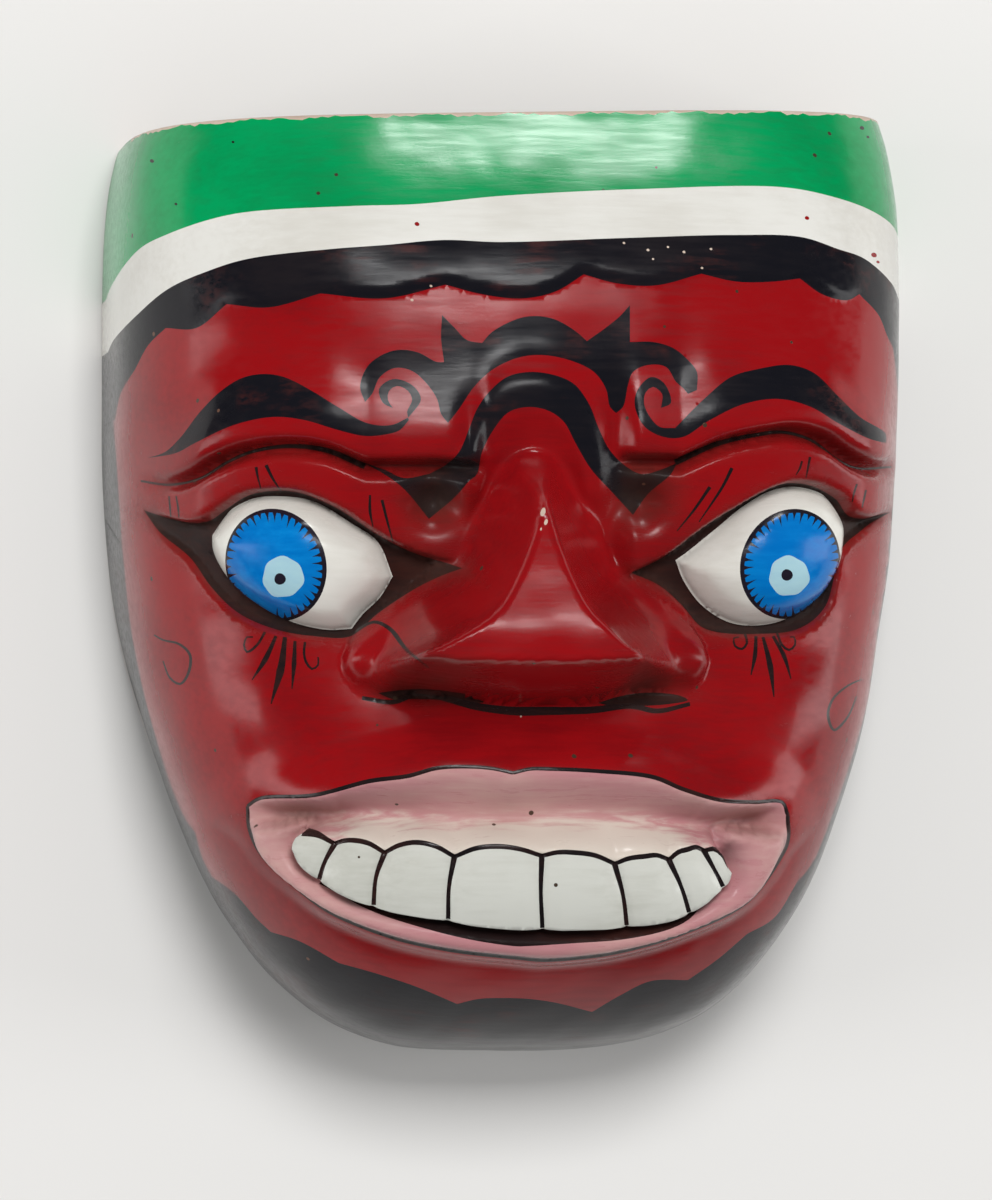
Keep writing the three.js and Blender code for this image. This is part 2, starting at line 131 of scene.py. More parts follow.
# Black that joins the hair to the beard along each side of the face
SIDEBURNS = [
    [(113, 420), (116, 455), (119, 500), (122, 545)],
    [(899, 395), (897, 470), (889, 580), (873, 680)],
]
BROWS = [
    [[(148, 458), (165, 452), (180, 438), (200, 412), (221, 391), (242, 378), (263, 374), (284, 377),
      (312, 391), (338, 407), (367, 423), (391, 425), (409, 417)],
     [(409, 417), (421, 399), (412, 385), (393, 379), (379, 389), (383, 403), (393, 408)],
     [(393, 408), (388, 400), (389, 391), (397, 386), (408, 391), (412, 400), (407, 412), (409, 420)],
     [(409, 420), (400, 430), (388, 434), (365, 436), (338, 430), (304, 420), (273, 417), (234, 425),
      (195, 443), (176, 453), (148, 458)]],
    [[(661, 408), (671, 403), (664, 383), (651, 377), (637, 391), (635, 407), (645, 427), (664, 437),
      (683, 437), (710, 420), (744, 404), (779, 399), (811, 407), (838, 423), (870, 439), (886, 443)],
     [(886, 443), (886, 434), (860, 417), (838, 396), (814, 373), (790, 365), (758, 369), (731, 377),
      (704, 399), (675, 428)],
     [(675, 428), (660, 427), (650, 417), (644, 403), (646, 392), (653, 387), (662, 394), (661, 408)]],
]
ORNAMENT = [
    [(365, 402), (360, 387), (367, 367), (380, 356), (397, 350), (417, 352), (437, 362), (444, 362)],
    [(444, 362), (441, 338), (442, 315)],
    [(442, 315), (454, 327), (467, 340), (482, 343)],
    [(482, 343), (492, 332), (517, 319), (534, 316), (554, 319), (574, 330), (587, 341)],
    [(587, 341), (604, 329), (619, 317), (630, 305)],
    [(630, 305), (630, 322), (630, 342)],
    [(630, 342), (653, 342), (673, 348), (688, 360), (697, 372), (697, 390)],
    [(697, 390), (688, 394)],
    [(688, 394), (683, 388), (676, 382), (666, 367), (648, 365), (633, 372), (628, 385), (623, 407),
     (616, 413)],
    [(616, 413), (610, 407), (606, 389), (594, 372), (569, 360), (541, 355), (517, 358), (492, 370),
     (474, 387), (459, 409), (448, 423)],
    [(448, 423), (441, 414), (437, 399), (427, 384), (412, 371), (395, 368), (380, 377), (372, 394),
     (365, 402)],
]
ARCH = [
    [(362, 462), (385, 470), (404, 478), (429, 474)],
    [(429, 474), (447, 464), (459, 452), (469, 429), (477, 409), (489, 392), (507, 377), (529, 372),
     (554, 375), (574, 384), (589, 404), (599, 429), (609, 449), (623, 464), (641, 474), (660, 470),
     (677, 463)],
    [(677, 463), (671, 474), (648, 494), (633, 515)],
    [(633, 515), (611, 491), (591, 469), (576, 444), (564, 422), (549, 411), (529, 407), (509, 412),
     (494, 429), (482, 452), (477, 474), (469, 481)],
    [(469, 481), (455, 497), (429, 519)],
    [(429, 519), (404, 489), (384, 474), (362, 462)],
]
EYE_SURROUNDS = [
    [[(144, 510), (158, 532), (187, 559), (208, 587), (236, 613), (273, 629), (312, 636), (351, 636),
      (378, 613), (417, 587), (459, 566)],
     [(459, 566), (414, 553), (378, 535), (338, 509), (299, 493), (273, 491), (247, 496), (226, 509),
      (208, 521), (189, 523), (163, 517), (144, 510)]],
    [[(632, 573), (664, 557), (704, 527), (731, 510), (758, 494), (785, 484), (812, 486), (838, 500),
      (849, 515), (865, 519), (891, 512)],
     [(891, 512), (865, 532), (846, 549), (828, 608), (801, 629), (758, 634), (718, 632), (702, 626),
      (683, 605), (661, 586), (632, 573)]],
]
EYEBALLS = [
    [[(208, 535), (226, 512), (248, 500), (273, 497), (312, 502), (351, 524), (378, 543), (393, 577)],
     [(393, 577), (380, 598), (362, 615), (351, 629)],
     [(351, 629), (325, 630), (286, 621), (247, 600), (221, 574), (209, 551), (208, 535)]],
    [[(678, 561), (688, 554), (718, 530), (745, 508), (774, 492), (801, 488), (828, 496), (844, 519),
      (846, 532), (838, 570), (820, 600), (790, 620), (758, 626), (731, 622), (704, 605), (686, 581),
      (678, 561)]],
]
# Each iris: its middle, half sizes and tilt, the pale patch and the dot in it with their radii, and the side
# on which its painted ring is thicker
IRISES = [
    dict(middle=(276, 565), half=(50, 57), tilt=-0.32, patch=(283, 577, 20.5), dot=(280, 579, 5.8),
         thick_side=1),
    dict(middle=(790, 564), half=(49, 56), tilt=0.38, patch=(789, 576, 20), dot=(787, 575, 5.8),
         thick_side=-1),
]
IRIS_SPIKES = 38
LIPS = [
    [(248, 806), (261, 798), (314, 795), (370, 781), (408, 776), (438, 768), (476, 767), (495, 769),
     (513, 773)],
    [(513, 773), (530, 769), (551, 769), (596, 771), (653, 777), (683, 789), (720, 800), (754, 802),
     (781, 802), (787, 815)],
    [(787, 815), (784, 838), (769, 868), (747, 898), (724, 915), (686, 932), (645, 945), (596, 956),
     (547, 960), (510, 957), (446, 949), (389, 936), (333, 913), (295, 883), (269, 857), (250, 826),
     (248, 806)],
]
TEETH = [
    [(295, 847), (303, 864), (320, 879), (370, 904), (446, 919), (495, 926), (543, 928), (626, 925),
     (686, 913), (713, 894), (726, 883), (730, 868)],
    [(730, 868), (724, 855), (716, 850), (707, 852)],
    [(707, 852), (698, 848), (690, 850), (680, 853), (671, 861)],
    [(671, 861), (658, 856), (645, 857), (630, 859), (616, 865)],
    [(616, 865), (596, 856), (574, 853), (558, 853), (543, 857)],
    [(543, 857), (522, 850), (500, 847), (476, 849), (455, 858)],
    [(455, 858), (436, 847), (416, 843), (399, 846), (384, 854)],
    [(384, 854), (368, 844), (352, 841), (341, 842), (333, 845)],
    [(333, 845), (317, 836), (301, 834)],
    [(301, 834), (296, 838), (295, 847)],
]
LIP_FOLD = [(248, 806), (299, 812), (370, 813), (446, 817), (521, 817), (596, 815), (671, 821),
            (709, 821), (745, 820), (787, 815)]
# Painted shadow in the gap between the teeth and the lower lip
MOUTH_GAP_SHADOW = [(318, 884), (340, 895), (374, 909), (446, 925), (495, 932), (543, 934), (626, 931),
             (684, 918), (708, 902), (718, 891)]
TOOTH_LINES = [
    [(333, 845), (325, 861), (320, 879)],
    [(384, 854), (376, 877), (374, 904)],
    [(455, 858), (449, 888), (448, 918)],
    [(543, 857), (541, 892), (542, 927)],
    [(616, 865), (623, 895), (626, 924)],
    [(671, 861), (681, 886), (688, 911)],
    [(707, 852), (716, 872), (722, 886)],
]
NOSTRIL_SHADES = [
    [(378, 693), (400, 690), (422, 689), (446, 691), (470, 697), (484, 702), (465, 703), (440, 700),
     (412, 699), (392, 699), (378, 693)],
    [(598, 703), (617, 697), (640, 693), (663, 693), (681, 696), (688, 700), (670, 704), (642, 706),
     (616, 707), (598, 703)],
]
# Painted strokes: points, then the widths at the start, in the middle and at the end, in pixels
STROKES = [
    ([(141, 481), (168, 485), (195, 479), (221, 464), (247, 453), (286, 447), (325, 451), (365, 467)],
      (2, 3.5, 6)),
    ([(677, 463), (718, 445), (758, 436), (787, 433), (817, 441), (844, 460), (865, 469), (892, 467)],
      (6, 3.5, 2)),
    ([(256, 467), (258, 478), (261, 489)], (3, 2, 1)),
    ([(266, 465), (273, 479), (281, 491)], (3.5, 2.5, 1)),
    ([(370, 495), (370, 511), (373, 527)], (2, 3, 1)),
    ([(382, 500), (387, 520), (393, 542)], (3, 2.5, 1)),
    ([(169, 496), (170, 507), (171, 517)], (1.5, 2, 1)),
    ([(176, 496), (178, 507), (179, 518)], (1.5, 2, 1)),
    ([(710, 487), (694, 510), (677, 531)], (3.5, 2.5, 1)),
    ([(732, 468), (723, 486), (712, 503), (699, 522)], (3.5, 2.5, 1)),
    ([(802, 461), (800, 468), (796, 475)], (2, 2, 1)),
    ([(810, 457), (808, 468), (806, 478)], (2.5, 2, 1)),
    ([(857, 484), (854, 493), (852, 502)], (2, 2, 1)),
    ([(866, 490), (864, 499), (862, 508)], (2, 2, 1)),
    ([(265, 632), (257, 645), (247, 652), (244, 645), (247, 637), (253, 637)], (2.5, 2.5, 1.5)),
    ([(276, 636), (266, 658), (252, 680)], (3, 5.5, 1)),
    ([(285, 637), (281, 668), (271, 704)], (4, 8, 1)),
    ([(295, 641), (294, 664), (292, 689)], (3, 5, 1)),
    ([(305, 642), (304, 653), (306, 662), (312, 669), (318, 665), (318, 657)], (2.5, 2.5, 1.5)),
    ([(745, 634), (747, 643), (742, 649), (735, 646), (734, 638), (739, 637)], (2.5, 2.5, 1.5)),
    ([(756, 636), (755, 655), (751, 675)], (3, 4.5, 1)),
    ([(763, 637), (770, 665), (774, 697)], (3, 6, 1)),
    ([(773, 636), (784, 656), (791, 679)], (3, 4.5, 1)),
    ([(777, 633), (782, 645), (789, 650), (795, 645), (794, 637), (790, 637)], (2.5, 2.5, 1.5)),
    ([(154, 635), (163, 640), (179, 644), (190, 655), (188, 674), (180, 684), (170, 678), (163, 661)],
      (1.5, 3, 1.5)),
    ([(863, 679), (849, 685), (833, 699), (828, 715), (834, 730), (847, 718), (857, 696)], (1.5, 3, 1.5)),
    ([(355, 632), (374, 622), (390, 629), (406, 649), (429, 668)], (2, 4.5, 1.5)),
    ([(362, 698), (393, 702), (419, 693), (448, 699), (474, 706), (513, 711), (545, 711), (592, 710),
      (631, 706), (657, 711), (690, 704)], (4, 9, 4)),
]
LIP_LINE_WIDTHS = (3.5, 4.5, 3.5)
TOOTH_LINE_WIDTHS = (6, 4, 4.5)
GUM_LINE_WIDTHS = (4.5, 5, 4.5)
MOUTH_GAP_SHADOW_WIDTHS = (3, 21, 3)
# Specks of other paint and chips: x, y and size in pixels
SPECKS = [
    (417, 224, 2.6, "red_enamel"), (807, 218, 2.4, "red_enamel"), (874, 255, 3.0, "red_enamel"),
    (878, 262, 1.8, "red_enamel"), (624, 243, 1.4, "bare_edge"), (648, 250, 1.6, "bare_edge"),
    (668, 247, 1.3, "bare_edge"), (684, 252, 1.6, "bare_edge"), (711, 249, 1.4, "bare_edge"),
    (653, 259, 1.2, "bare_edge"), (702, 268, 1.4, "bare_edge"), (412, 300, 1.6, "bare_edge"),
    (431, 286, 1.5, "bare_edge"), (152, 161, 2.2, "line_black"), (233, 142, 1.5, "line_black"),
    (176, 204, 1.6, "line_black"), (862, 128, 2.4, "line_black"), (868, 137, 1.6, "line_black"),
]
# Small pale spots on the ridge of the nose and just below it: x, y and size in pixels
PALE_SPOTS = [(543, 512, 4.6), (546, 522, 3.2), (541, 529, 1.6), (521, 716, 1.5)]
CURVE_STEP = 3.2
SIDEBURN_OVERLAP = 8


def clamp(value, low, high):
    return np.minimum(np.maximum(value, low), high)


def bump(distance, width):
    return np.exp(-((distance / width) ** 2))


def mix(a, b, share):
    return a + (b - a) * share


def smooth(start, end, value):
    t = clamp((value - start) / (end - start), 0, 1)
    return t * t * (3 - 2 * t)


def soft_min(a, b, radius):
    share = clamp(0.5 + 0.5 * (b - a) / radius, 0, 1)
    return mix(b, a, share) - radius * share * (1 - share)


def soft_max(a, b, radius):
    return -soft_min(-a, -b, radius)


def mounds(x, y, places, spread):
    """Soft rises round the given places, each 1 in its middle."""
    return sum(bump(x - place[0], spread[0]) * bump(y - place[1], spread[1]) for place in places)


def unit(vectors):
    return vectors / np.maximum(np.linalg.norm(vectors, axis=-1, keepdims=True), 1e-9)


def through(points, x):
    """A smooth curve y(x) through points listed by rising x."""
    xs, ys = np.array(points, float).T
    last = len(points) - 1
    before, after = np.maximum(np.arange(last + 1) - 1, 0), np.minimum(np.arange(last + 1) + 1, last)
    slopes = (ys[after] - ys[before]) / (xs[after] - xs[before])
    i = np.clip(np.searchsorted(xs, x) - 1, 0, last - 1)
    span = xs[i + 1] - xs[i]
    t = clamp((x - xs[i]) / span, 0, 1)
    rise = t * t * (3 - 2 * t)
    return (mix(ys[i], ys[i + 1], rise) + (t ** 3 - 2 * t ** 2 + t) * span * slopes[i]
            + (t ** 3 - t ** 2) * span * slopes[i + 1])


def section_table(exponent, steps=1600):
    """The shell's cross-section: shares of the half width and of the depth, at even steps of length."""
    angle = np.linspace(0, math.pi / 2, 4 * steps + 1)
    out = np.sin(angle) ** (2 / exponent)
    up = clamp(np.cos(angle), 0, 1) ** (2 / exponent)
    steps_along = np.hypot(np.diff(out) * HALF_WIDTH, np.diff(up) * FACE_DEPTH)
    length = np.concatenate([[0], np.cumsum(steps_along)])
    shares = np.linspace(0, length[-1], steps + 1)
    return np.interp(shares, length, out), np.interp(shares, length, up)


SECTIONS = [section_table(FACE_SECTION), section_table(CROWN_SECTION)]


def section_at(share, crown):
    """The section grows squarer from the face to the flat-cut crown."""
    steps = np.linspace(0, 1, len(SECTIONS[0][0]))
    face, top = [[np.interp(share, steps, part) for part in table] for table in SECTIONS]
    return mix(face[0], top[0], crown), mix(face[1], top[1], crown)


def outline_reach(a, b):
    """The multiple of a direction, given in half widths and drops, that lies on the outline."""
    reach = 1 / np.maximum(np.maximum(a, b), 1e-9)
    for _ in range(14):
        aside, down = (reach * a) ** SIDE_EXPONENT, (reach * b) ** CHIN_EXPONENT
        slope = (SIDE_EXPONENT * aside + CHIN_EXPONENT * down) / reach
        reach = reach - (aside + down - 1) / slope
    return reach


def shell_point(u, v, inset=0.0):
    """Points of a plain shell: u runs across from -1 to 1, v from -1 at the chin to 1 at the top."""
    half_width, drop = HALF_WIDTH - inset, WIDEST_Y - CHIN_Y - inset
    out, up_top = section_at(np.abs(u), smooth(0, 1, clamp(v, 0, 1)))
    narrow = 1 - TOP_NARROWING * clamp(v, 0, 1) ** NARROWING_POWER
    x_top = np.sign(u) * (out * half_width * narrow + SIDE_FLARE * (1 - up_top))
    y_top = WIDEST_Y + v * (TOP_Y + TOP_SLOPE * x_top - WIDEST_Y)
    across, down = u * np.sqrt(1 - v * v / 2), v * np.sqrt(1 - u * u / 2)
    share = np.minimum(np.hypot(across, down), 1)
    out, up_low = section_at(share, 0)
    safe = np.maximum(share, 1e-9)
    dx, dy = across / safe, np.where(share > 1e-9, down / safe, 1)
    reach = outline_reach(np.abs(dx), np.abs(dy)) * out
    x_low, y_low = dx * half_width * reach, dy * drop * reach
    flare = mix(SIDE_FLARE, CHIN_FLARE, smooth(CHIN_FLARE_FROM, 1, np.abs(dy))) * (1 - up_low)
    stretch = 1 + flare / np.maximum(np.hypot(x_low, y_low), 1e-9)
    x_low, y_low = x_low * stretch, WIDEST_Y + y_low * stretch
    x, y = np.where(v >= 0, x_top, x_low), np.where(v >= 0, y_top, y_low)
    up = np.where(v >= 0, up_top, up_low)
    return np.stack([x, y, up * (through(DEPTHS, y) - inset)], axis=-1)


def shell_normal(u, v):
    step = 0.0015
    u0, u1 = clamp(u - step, -1, 1), clamp(u + step, -1, 1)
    v0, v1 = clamp(v - step, -1, 1), clamp(v + step, -1, 1)
    return unit(np.cross(shell_point(u1, v) - shell_point(u0, v), shell_point(u, v1) - shell_point(u, v0)))


def camera_axes():
    back = np.array([-math.sin(CAMERA_YAW) * math.cos(CAMERA_PITCH), math.sin(CAMERA_PITCH),
                     math.cos(CAMERA_YAW) * math.cos(CAMERA_PITCH)])
    right = np.array([math.cos(CAMERA_YAW), 0.0, math.sin(CAMERA_YAW)])
    return right, np.cross(back, right), back


def to_photo(points):
    """Places in the photograph, and distances from the camera, of points in millimetres."""
    right, up, back = camera_axes()
    offset = points - (CAMERA_TARGET + CAMERA_DISTANCE * back)
    depth = -(offset @ back)
    x = PHOTO_WIDTH / 2 + CAMERA_FOCAL_PIXELS * (offset @ right) / depth
    y = PHOTO_HEIGHT / 2 - CAMERA_FOCAL_PIXELS * (offset @ up) / depth
    return np.stack([x, y], axis=-1), depth


def plane_to_shell(plane):
    v = np.where(plane[..., 1] >= 0, plane[..., 1] / PLANE_UP, plane[..., 1] / PLANE_DOWN)
    return plane[..., 0] / PLANE_HALF, v


def shell_to_plane(u, v):
    return np.stack([u * PLANE_HALF, np.where(v >= 0, v * PLANE_UP, v * PLANE_DOWN)], axis=-1)


def make_camera():
    right, up, back = camera_axes()
    place = (CAMERA_TARGET + CAMERA_DISTANCE * back) * MM
    camera = bpy.data.objects.new("camera", bpy.data.cameras.new("camera"))
    camera.matrix_world = Matrix([[*row, 1.0 if i == 3 else 0.0] for i, row in enumerate(
        np.vstack([np.stack([right, up, back], axis=1), np.zeros(3)]))])
    camera.matrix_world.translation = Vector(place)
    camera.data.sensor_fit = "VERTICAL"
    camera.data.sensor_height = SENSOR_HEIGHT
    camera.data.lens = CAMERA_FOCAL_PIXELS / PHOTO_HEIGHT * SENSOR_HEIGHT
    bpy.context.scene.collection.objects.link(camera)
    bpy.context.scene.camera = camera


def smooth_run(points, step=CURVE_STEP):
    """Points along a smooth curve through the given points, a few pixels apart."""
    points = np.array(points, float)
    if len(points) == 2:
        count = max(int(np.linalg.norm(points[1] - points[0]) / step), 1)
        return mix(points[0], points[1], np.linspace(0, 1, count + 1)[:, None])
    padded = np.vstack([2 * points[0] - points[1], points, 2 * points[-1] - points[-2]])
    places = []
    for a, b, c, d in zip(padded, padded[1:], padded[2:], padded[3:]):
        spans = [max(np.linalg.norm(q - p), 1e-6) ** 0.5 for p, q in ((a, b), (b, c), (c, d))]
        t0, t1, t2 = np.cumsum(spans)
        count = max(int(np.linalg.norm(c - b) / step), 1)
        t = mix(t0, t1, np.arange(count) / count)[:, None]
        ab, bc = a + (b - a) * t / t0, b + (c - b) * (t - t0) / (t1 - t0)
        cd = c + (d - c) * (t - t1) / (t2 - t1)
        abc, bcd = ab + (bc - ab) * t / t1, bc + (cd - bc) * (t - t0) / (t2 - t0)
        places.append(abc + (bcd - abc) * (t - t0) / (t1 - t0))
    return np.vstack(places + [points[-1:]])


def closed_outline(runs):
    return np.vstack([smooth_run(run)[:-1] for run in runs])


def open_line(runs):
    return np.vstack([smooth_run(run)[:-1] for run in runs] + [np.array(runs[-1][-1:], float)])


def stroke_outline(points, widths):
    """The outline of a brush stroke, from its widths at the start, in the middle and at the end."""
    line = smooth_run(points)
    along = np.linspace(0, 1, len(line))
    half = np.interp(along, [0, 0.5, 1], widths)[:, None] / 2
    direction = unit(np.gradient(line, axis=0))
    side = np.stack([-direction[:, 1], direction[:, 0]], axis=1) * half
    return np.vstack([line + side, (line - side)[::-1]])


def ellipse_outline(middle, half, tilt, count, radius=lambda angle: 1.0):
    angles = np.linspace(0, 2 * math.pi, count, endpoint=False)
    share = np.array([radius(angle) for angle in angles])
    x, y = half[0] * np.cos(angles) * share, half[1] * np.sin(angles) * share
    return np.stack([middle[0] + x * math.cos(tilt) - y * math.sin(tilt),
                     middle[1] + x * math.sin(tilt) + y * math.cos(tilt)], axis=1)


def inside_outline(outline, points):
    """Which points lie inside a closed outline."""
    within = np.all((points >= outline.min(0)) & (points <= outline.max(0)), axis=1)
    x, y = points[within].T
    odd = np.zeros(len(x), bool)
    for (ax, ay), (bx, by) in zip(outline, np.roll(outline, -1, axis=0)):
        crosses = (ay > y) != (by > y)
        if crosses.any():
            odd ^= crosses & (x < (bx - ax) * (y - ay) / ((by - ay) or 1e-12) + ax)
    result = np.zeros(len(points), bool)
    result[within] = odd
    return result


class PhotoMap:
    """Finds the place on the mask's front that a pixel of the photograph shows."""

    cell = 3
    rounds = 13
    columns, rows = 760, 820
    limit = 0.995
    longest_step = 0.02
    step_share = 0.7
    least_area = 1e3

    def __init__(self):
        u, v = np.meshgrid(np.linspace(-0.99, 0.99, self.columns), np.linspace(-0.99, 1, self.rows))
        pixels, depth = to_photo(shell_point(u, v))
        order = np.argsort(-depth, axis=None)
        column, row = (pixels.reshape(-1, 2)[order] // self.cell).astype(int).T
        shape = (PHOTO_HEIGHT // self.cell + 2, PHOTO_WIDTH // self.cell + 2)
        column, row = np.clip(column, 0, shape[1] - 1), np.clip(row, 0, shape[0] - 1)
        self.u, self.v = np.full(shape, np.nan), np.full(shape, np.nan)
        self.u[row, column], self.v[row, column] = u.ravel()[order], v.ravel()[order]
        self.filled = np.argwhere(~np.isnan(self.u))

    def start(self, pixels):
        """Rough shell coordinates of pixels, from the plain shell."""
        starts = []
        for cell in (pixels // self.cell).astype(int)[:, ::-1]:
            if np.isnan(self.u[cell[0], cell[1]]):
                cell = self.filled[np.argmin(((self.filled - cell) ** 2).sum(axis=1))]
            starts.append((self.u[cell[0], cell[1]], self.v[cell[0], cell[1]]))
        return np.array(starts).T

    def place(self, pixels, lift=None):
        """Shell coordinates of pixels, on the carved front or at a given lift above the plain shell."""
        pixels = np.asarray(pixels, float)
        u, v = self.start(pixels)
        step = 0.002
        nearest, best_u, best_v = np.full(len(u), np.inf), u.copy(), v.copy()
        for _ in range(self.rounds):
            shell = shell_point(u, v)
            if lift is None:
                height = front_height(u, v, shell)
            else:
                height = lift(shell[:, 0], shell[:, 1]) if callable(lift) else np.full(len(u), lift)
            rise = shell_normal(u, v) * height[:, None]
            here = to_photo(shell + rise)[0]
            by_u = (to_photo(shell_point(clamp(u + step, -1, 1), v) + rise)[0] - here) / step
            by_v = (to_photo(shell_point(u, clamp(v + step, -1, 1)) + rise)[0] - here) / step
            error = pixels - here
            closer = np.hypot(*error.T) < nearest
            nearest[closer] = np.hypot(*error[closer].T)
            best_u[closer], best_v[closer] = u[closer], v[closer]
            area = by_u[:, 0] * by_v[:, 1] - by_u[:, 1] * by_v[:, 0]
            area = np.where(np.abs(area) < self.least_area, self.least_area * np.sign(area + 1e-9), area)
            du = (error[:, 0] * by_v[:, 1] - error[:, 1] * by_v[:, 0]) / area
            dv = (by_u[:, 0] * error[:, 1] - by_u[:, 1] * error[:, 0]) / area
            u, v = self.moved(u, du), self.moved(v, dv)
        return best_u, best_v

    def moved(self, place, change):
        change = clamp(change, -self.longest_step, self.longest_step)
        return clamp(place + self.step_share * change, -self.limit, self.limit)

    def plane_place(self, pixels, lift=None):
        return shell_to_plane(*self.place(pixels, lift))

    def base_place(self, pixels, lift):
        """The x and y of the plain shell under pixels of the photograph."""
        return shell_point(*self.place(pixels, lift))[:, :2]


PHOTO = PhotoMap()


def muzzle(x, y):
    return MUZZLE_BULGE * mounds(x, y, [MUZZLE], MUZZLE_SPREAD)


def lip_stand(x):
    """How far the lips stand out, which is less towards the corners of the mouth."""
    return LIP_STAND * mix(1, CORNER_SHARE, smooth(36, 58, np.abs(x - MOUTH_X)))


def lip_lift(x, y):
    return muzzle(x, y) + lip_stand(x) - LOWER_EASE * smooth(-52, -62, y)


def fold_lift(x, y):
    return muzzle(x, y) - FOLD_SINK


def teeth_lift(x, y):
    return muzzle(x, y) + 0.5 * (GUM_STAND + TEETH_STAND)


def chain(runs, lift):
    """A traced line as a function y(x), by rising x."""
    points = PHOTO.base_place(open_line(runs), lift)
    points = points[np.argsort(points[:, 0])]
    return points[:, 0], points[:, 1]


def loop(runs, lift):
    return PHOTO.base_place(closed_outline(runs), lift)


def line_distance(line, x, y, reach, closed=False):
    """Distance from places to a line, or reach where they are further away than that."""
    near = ((x > line[:, 0].min() - reach) & (x < line[:, 0].max() + reach)
            & (y > line[:, 1].min() - reach) & (y < line[:, 1].max() + reach))
    points = np.stack([x[near], y[near]], axis=1)
    best = np.full(len(points), float(reach))
    ends = np.roll(line, -1, axis=0) if closed else line[1:]
    for a, b in zip(line, ends):
        along = b - a
        t = clamp(((points - a) @ along) / max(along @ along, 1e-12), 0, 1)
        best = np.minimum(best, np.linalg.norm(points - a - t[:, None] * along, axis=1))
    result = np.full(x.shape, float(reach))
    result[near] = best
    return result


def depth_inside(line, x, y, reach):
    """Distance from a closed line: above zero inside it, below zero outside it."""
    shape = x.shape
    x, y = x.ravel(), y.ravel()
    distance = line_distance(line, x, y, reach, closed=True)
    inside = inside_outline(line, np.stack([x, y], axis=1))
    return np.where(inside, distance, -distance).reshape(shape)


def trace_features():
    """The lines of the eyes, mouth and hair on the plain shell, from the traced outlines."""
    eyes = []
    for k, side in enumerate((-1, 1)):
        lower, upper = EYE_SURROUNDS[k] if side < 0 else EYE_SURROUNDS[k][::-1]
        eyes.append(dict(side=side, upper=chain([upper], LID_LIFT), lower=chain([lower], LID_LIFT),
                         crease=chain([STROKES[k][0]], LID_LIFT), ball=loop(EYEBALLS[k], BALL_LIFT)))
    return dict(
        eyes=eyes, lips=loop(LIPS, lip_lift), upper_lip=chain(LIPS[:2], lip_lift),
        fold=chain([LIP_FOLD], fold_lift), teeth=loop(TEETH, teeth_lift),
        teeth_top=chain(TEETH[1:-1], teeth_lift), teeth_bottom=chain(TEETH[:1], teeth_lift),
        cuts=[PHOTO.base_place(smooth_run(run), teeth_lift) for run in TOOTH_LINES],
        hair=np.vstack([PHOTO.base_place(open_line(HAIR_LINE), HAIR_LIFT), [(150, 150), (-150, 150)]]))


FEATURES = trace_features()


def height_over(line, x, y):
    return y - np.interp(x, *line)


def brow_and_lids(eye, x, y):
    """The roll of the brow, the crease below it and the upper lid."""
    above_lid, above_crease = height_over(eye["upper"], x, y), height_over(eye["crease"], x, y)
    outer, inner = smooth(90, 73, np.abs(x)), smooth(14, 20, np.abs(x))
    past_crest = np.maximum(above_crease - BROW_CREST, 0)
    brow = BROW_ROLL * smooth(0, BROW_RISE, above_crease) * bump(past_crest, BROW_WIDTH)
    lid = LID_ROLL * smooth(0, -2.5, above_crease) * smooth(-2, 2, above_lid)
    crease = -CREASE_DEPTH * bump(above_crease, CREASE_WIDTH)
    return (brow + lid + crease) * outer * inner


def eye_inside(eye, x, y):
    """Distance from the edge of the eye's opening: above zero inside it."""
    within = np.minimum(x - eye["upper"][0][0], eye["upper"][0][-1] - x)
    return np.minimum(np.minimum(-height_over(eye["upper"], x, y), height_over(eye["lower"], x, y)), within)


def eye_height(eye, x, y):
    """The ball rises steeply out of its socket and is flatter in front."""
    depth = clamp(depth_inside(eye["ball"], x, y, BALL_RADIUS), 0, BALL_RADIUS)
    middle = eye["ball"].mean(axis=0)
    dome = BALL_DOME * bump(np.hypot(x - middle[0], y - middle[1]), DOME_WIDTH) * smooth(0, 5, depth)
    return -SOCKET_DEPTH + BALL_BULGE * (1 - (1 - depth / BALL_RADIUS) ** 2) ** BALL_ROUNDNESS + dome


def nose_height(x, y):
    """A front face that widens downwards, hollow side faces, rounded wings and an underside."""
    half = through(FRONT_HALF, y)
    off, reach = np.abs(x - through(RIDGE_X, y)), np.abs(x - NOSE_MIDDLE_X)
    span = np.maximum(through(NOSE_HALF, y) - half, 0.5)
    t = clamp((mix(off, reach, clamp((off - half) / span, 0, 1)) - half) / span, 0, 1)
    t = np.sqrt(t * t + CREST_ROUNDING ** 2) - CREST_ROUNDING * (1 - t)
    wing = WING_LIFT * bump(y - WING_Y, WING_SPREAD) * np.sqrt(clamp(1 - t ** 5, 0, 1)) * smooth(0, 0.2, t)
    sides = soft_max(through(RIDGE_HEIGHT, y) * clamp(1 - t, 0, 1) ** NOSE_HOLLOW, wing, RIDGE_BLEND)
    root = ROOT_SLOPE * (ROOT_Y - ROOT_CURVE * np.minimum(reach, ROOT_HALF) ** 2 - y)
    upper = soft_min(sides, np.maximum(root, 0), ROOT_BLEND)
    foot = through(NOSE_FOOT, x)
    under = clamp((y - foot) / (through(NOSE_EDGE, x) - foot), 0, 1) ** UNDERSIDE_POWER
    return np.where(t < 1, upper * under, 0)


